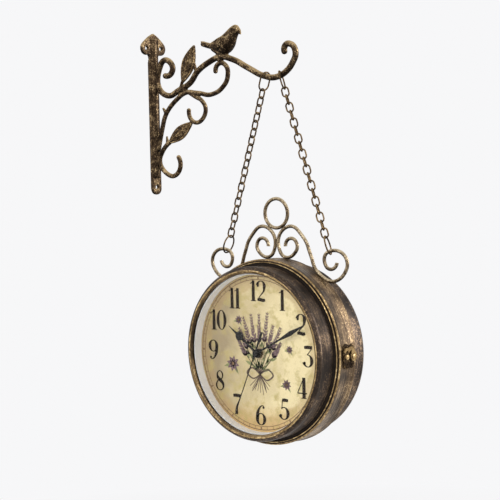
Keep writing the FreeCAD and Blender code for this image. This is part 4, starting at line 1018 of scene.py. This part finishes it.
def sprigs(face):
    # the tied bunch, with loose blossoms beside it
    stems, florets, leaves = bunch()
    petals, hearts = [], []
    count, turn = sprigSet["petals"], sprigSet["petalTurn"]
    for x, z, size in sprigSet["blossoms"]:
        spot, growth = Vector((x, z, 0)), size / sprigSet["petal"][0]
        petals += [(spot, radians(360 / count * step + turn), growth) for step in range(count)]
        leaves += [(spot, radians(angle), growth) for angle in sprigSet["blossomLeaves"]]
        hearts.append(blob(x, z, size * sprigSet["heart"]))
    tie = Vector(sprigSet["tie"])
    bands = [(sprigSet["bow"], sprigSet["bowWidths"])]
    bands += [(line, sprigSet["endWidths"]) for line in sprigSet["ends"]]
    loops = [ribbon([tuple(tie + Vector(spot)) for spot in line], widths) for line, widths in bands]

    def strewn(name, spots, size, finish):
        depth = inkDepth(name) + printSet["ink"]
        onDial = [(facing(face, spot.x, depth, spot.y), dialTurn(face, angle - pi / 2), growth)
                  for spot, angle, growth in spots]
        return repeated(name, onDial, bladeMotif(*size), finish)

    return [flatMesh("stems", face, stems, "stemSepia"),
            flatMesh("bow", face, loops, "stemSepia"),
            strewn("blades", leaves, sprigSet["leaf"], "leafGreen"),
            strewn("florets", florets, sprigSet["floret"], "petalMauve"),
            strewn("petals", petals, sprigSet["petal"], "petalMauve"),
            flatMesh("hearts", face, hearts, "trackBrown")]


for face in faces:
    inks = sprigs(face) + minuteTrack(face) + [flatMesh("numerals", face, numeralStrokes(), "inkBlack")]
    settle(f"{face}DialPrint", joinedMesh(f"{face}DialPrint", inks), faces[face])
print("dials printed")


# latch and hinge: gold domes on the studs, beads on the plates, rivets on the leaves

fittingSet = {
    "studs": {"latch_peg": ("front_door", "pegDome"), "latch_pivot_rivet": ("clock", "pivotDome")},
    "shank": 2.0, "shankShare": 0.64, "rim": 0.3, "rimBreak": (0.2, 0.15),
    "studTurns": 28, "studRings": 6, "sharpAngle": 50,
    "beadRows": {"latch_keeper": ("front_door", "keeperBeads"), "latch_base": ("clock", "baseBeads")},
    "bead": 0.95, "beads": 6, "beadArc": (30, 120), "beadInset": (1.9, 2.6), "sunk": 0.05,
    # hinge leaves with their body, name and the rivets' distance from the outer edge
    "rivets": {"hinge_front_leaf": ("front_door", "frontRivets", 5.0),
               "hinge_rear_leaf": ("clock", "rearRivets", 2.7)},
    "rivet": (1.5, 0.8), "rivetRows": (-8.5, 0.0, 8.5), "leafStep": 0.2,
}


def onBand(radius, y, z, side=1):
    # spot on the round of the case at three o'clock, or at nine o'clock with side -1, turned outward
    reach = radius - fittingSet["sunk"] * mm
    spot = Vector((clockCentre.x + side * sqrt(reach ** 2 - (z * mm) ** 2), y, clockCentre.z + z * mm))
    return spot, (0, side * (pi / 2 - asin(z * mm / radius)), 0), 1.0


def studDome(node, body, name):
    # shank with a rim and a round head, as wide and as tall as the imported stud
    low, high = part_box(node)
    head, tall = (high.y - low.y) / 2, (high.x - low.x) * fittingSet["shankShare"]
    foot = Vector((low.x, (low.y + high.y) / 2, clockCentre.z))
    shank, rim = fittingSet["shank"] * mm, tall + fittingSet["rim"] * mm
    breakIn, breakUp = (size * mm for size in fittingSet["rimBreak"])
    profile = [(shank, 0), (shank, tall), (head - breakIn, tall), (head, tall + breakUp), (head, rim)]
    rings = fittingSet["studRings"]
    for ring in range(1, rings):
        angle = radians(90 * ring / rings)
        profile.append((head * cos(angle), rim + (high.x - low.x - rim) * sin(angle)))
    turns, verts = fittingSet["studTurns"], []
    for reach, height in profile:
        for angle in fullTurn(turns):
            verts.append(foot + Vector((height, reach * cos(angle), reach * sin(angle))))
    ends = [tuple(range(turns)), tuple(range(len(verts) - turns, len(verts)))]
    mesh = outward(meshOf(name, verts, skinOf(len(profile), turns) + ends))
    mesh.set_sharp_from_angle(angle=radians(fittingSet["sharpAngle"]))
    settle(name, mesh, body, (node,), "goldBead")


def plateBeads(node, body, name):
    # a row of beads round the upper and the lower lobes of a latch plate
    low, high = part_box(node)
    middle, half = (low.y + high.y) / 2, (high.y - low.y) / 2 - fittingSet["beadInset"][0] * mm
    tall = (high.z - low.z) / 2 / mm - fittingSet["beadInset"][1]
    (first, arc), count = fittingSet["beadArc"], fittingSet["beads"]
    spots = []
    for side in (-1, 1):
        for step in range(count):
            angle = side * radians(first + arc * step / (count - 1))
            spots.append(onBand(high.x - clockCentre.x, middle + half * cos(angle), tall * sin(angle)))
    bead = domeMesh("bead", fittingSet["bead"] * mm, fittingSet["bead"] * mm)
    settle(name, repeated(name, spots, bead, "latchBronze"), body)


def leafRivets(node, body, name, inset):
    low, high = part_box(node)
    y = low.y + inset * mm if body == "front_door" else high.y - inset * mm
    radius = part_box("latch_keeper")[1].x - clockCentre.x - fittingSet["leafStep"] * mm
    spots = [onBand(radius, y, z, -1) for z in fittingSet["rivetRows"]]
    rivet = domeMesh("rivet", *[size * mm for size in fittingSet["rivet"]])
    settle(name, repeated(name, spots, rivet, "goldBead"), body)


for make, kind in ((studDome, "studs"), (plateBeads, "beadRows"), (leafRivets, "rivets")):
    for node, words in fittingSet[kind].items():
        make(node, *words)
dress("latchBronze", "latch_base", "latch_keeper", "hinge_front_leaf", "hinge_rear_leaf", "hinge_pin")
dress("hookGold", "latch_hook")
dress("insideBronze", "door_stop_ring")
print("latch and hinge dressed")


# what each half of the case holds

insideSet = {
    "clearGlass": ["glass"], "whiteWall": ["spacer_ring"], "contactSteel": ["dial_clips", "battery_contacts"],
    "movementBlack": ["movement"], "knobGrey": ["set_knob"], "nutBronze": ["shaft_nut"],
    "washerFibre": ["shaft_washer"], "cellWrap": ["battery"],
    "handBlack": ["hour_hand", "minute_hand", "second_hand"],
}
for face in faces:
    dress(f"{face}Paper", f"{face}_dial")
    for finish, pieces in insideSet.items():
        dress(finish, *[f"{face}_{piece}" for piece in pieces])
print("case dressed")


# light, floor and camera

stageSet = {
    "floorDrop": 0.30, "floorSide": 6.0, "floorTones": ((0.90, 0.90, 0.90), (0.92, 0.92, 0.92)),
    "floorClouds": (0.6, 2, 0.5), "floorRoughness": 0.9, "fadePace": 0.5, "fadeAt": (0.2, 0.6),
    "worldLight": 0.5, "backdrop": (0.93, 0.93, 0.94), "aimRise": 0.12,
    # lamps as name, place, size and power
    "lamps": [("keyLamp", (1.0, -1.7, 0.8), 1.4, 22),
              ("sideLamp", (-1.1, -1.3, 0.3), 1.6, 11),
              ("windowLamp", (1.75, 1.0, 0.25), 1.0, 40)],
}


def seenRays(tree):
    # 1 for rays from the camera, off a gloss or through glass, which see the backdrop
    path = add(tree, "ShaderNodeLightPath")
    rays = combine(path.outputs["Is Camera Ray"], path.outputs["Is Glossy Ray"], "MAXIMUM")
    return combine(rays, path.outputs["Is Transmission Ray"], "MAXIMUM")


def blendBackdrop(tree, factor, plain, kind, output):
    # the plain shader, with the backdrop's colour in its place where the factor is 1
    backdrop = add(tree, kind, Strength=1.0, Color=(*stageSet["backdrop"], 1))
    blend = add(tree, "ShaderNodeMixShader")
    for source, socket in zip((factor, plain.outputs[0], backdrop.outputs[0]), blend.inputs):
        feed(source, socket)
    feed(blend.outputs[0], tree.nodes[output].inputs["Surface"])


def makeFloor():
    # pale round the object, where it takes the shadow, and as the backdrop farther away
    low = cadBox[0][2] - stageSet["floorDrop"]
    side = stageSet["floorSide"]
    verts = [(-side, -side, low), (side, -side, low), (side, side, low), (-side, side, low)]
    floor = linked("paleFloor", meshOf("paleFloor", verts, [(0, 1, 2, 3)], False))
    material, tree, surface = shader("floorPaint", stageSet["floorRoughness"])
    near = place(tree, (-clockCentre.x, 0, -low))
    feed(clouded(near, *stageSet["floorClouds"], *stageSet["floorTones"]), surface.inputs["Base Color"])
    away = add(tree, "ShaderNodeVectorMath", operation="LENGTH")
    feed(near, away.inputs[0])
    fade = mask(scaled(away.outputs["Value"], stageSet["fadePace"]), *stageSet["fadeAt"])
    factor = combine(seenRays(tree), fade, "MULTIPLY")
    blendBackdrop(tree, factor, surface, "ShaderNodeEmission", "Material Output")
    floor.data.materials.append(material)


def makeLight():
    world = bpy.data.worlds.new("studio")
    scene.world = world
    world.use_nodes = True
    tree = world.node_tree
    plain = tree.nodes["Background"]
    plain.inputs["Strength"].default_value = stageSet["worldLight"]
    plain.inputs["Color"].default_value = (1, 1, 1, 1)
    blendBackdrop(tree, seenRays(tree), plain, "ShaderNodeBackground", "World Output")
    target = clockCentre + Vector((0, 0, stageSet["aimRise"]))
    for name, spot, size, power in stageSet["lamps"]:
        lamp = bpy.data.lights.new(name, "AREA")
        lamp.size = size
        lamp.energy = power
        holder = linked(name, lamp)
        holder.location = spot
        holder.rotation_euler = (target - Vector(spot)).to_track_quat("-Z", "Y").to_euler()


cameraSet = {"azimuth": 40.88, "elevation": 2.54, "roll": -1.3, "distance": 1.653,
             "aim": (0.1497, 0.0, -0.2415), "lens": 103.7, "sensor": 36, "clipStart": 0.05}


def makeCamera():
    azimuth, elevation, roll = (radians(cameraSet[key]) for key in ("azimuth", "elevation", "roll"))
    level = cos(elevation)
    away = Vector((sin(azimuth) * level, -cos(azimuth) * level, sin(elevation)))
    data = bpy.data.cameras.new("photoCamera")
    data.lens = cameraSet["lens"]
    data.sensor_width = cameraSet["sensor"]
    data.sensor_fit = "HORIZONTAL"
    data.clip_start = cameraSet["clipStart"]
    camera = linked("photoCamera", data)
    right = Vector((cos(azimuth), sin(azimuth), 0))
    upward = away.cross(right)
    tilted = right * cos(roll) + upward * sin(roll)
    top = upward * cos(roll) - right * sin(roll)
    spot = Vector(cameraSet["aim"]) + away * cameraSet["distance"]
    rows = [[column[axis] for column in (tilted, top, away, spot)] for axis in range(3)]
    camera.matrix_world = Matrix([*rows, [0, 0, 0, 1]])
    scene.camera = camera


makeFloor()
makeLight()
makeCamera()
scene.view_settings.view_transform = "Standard"
print("stage and camera set")
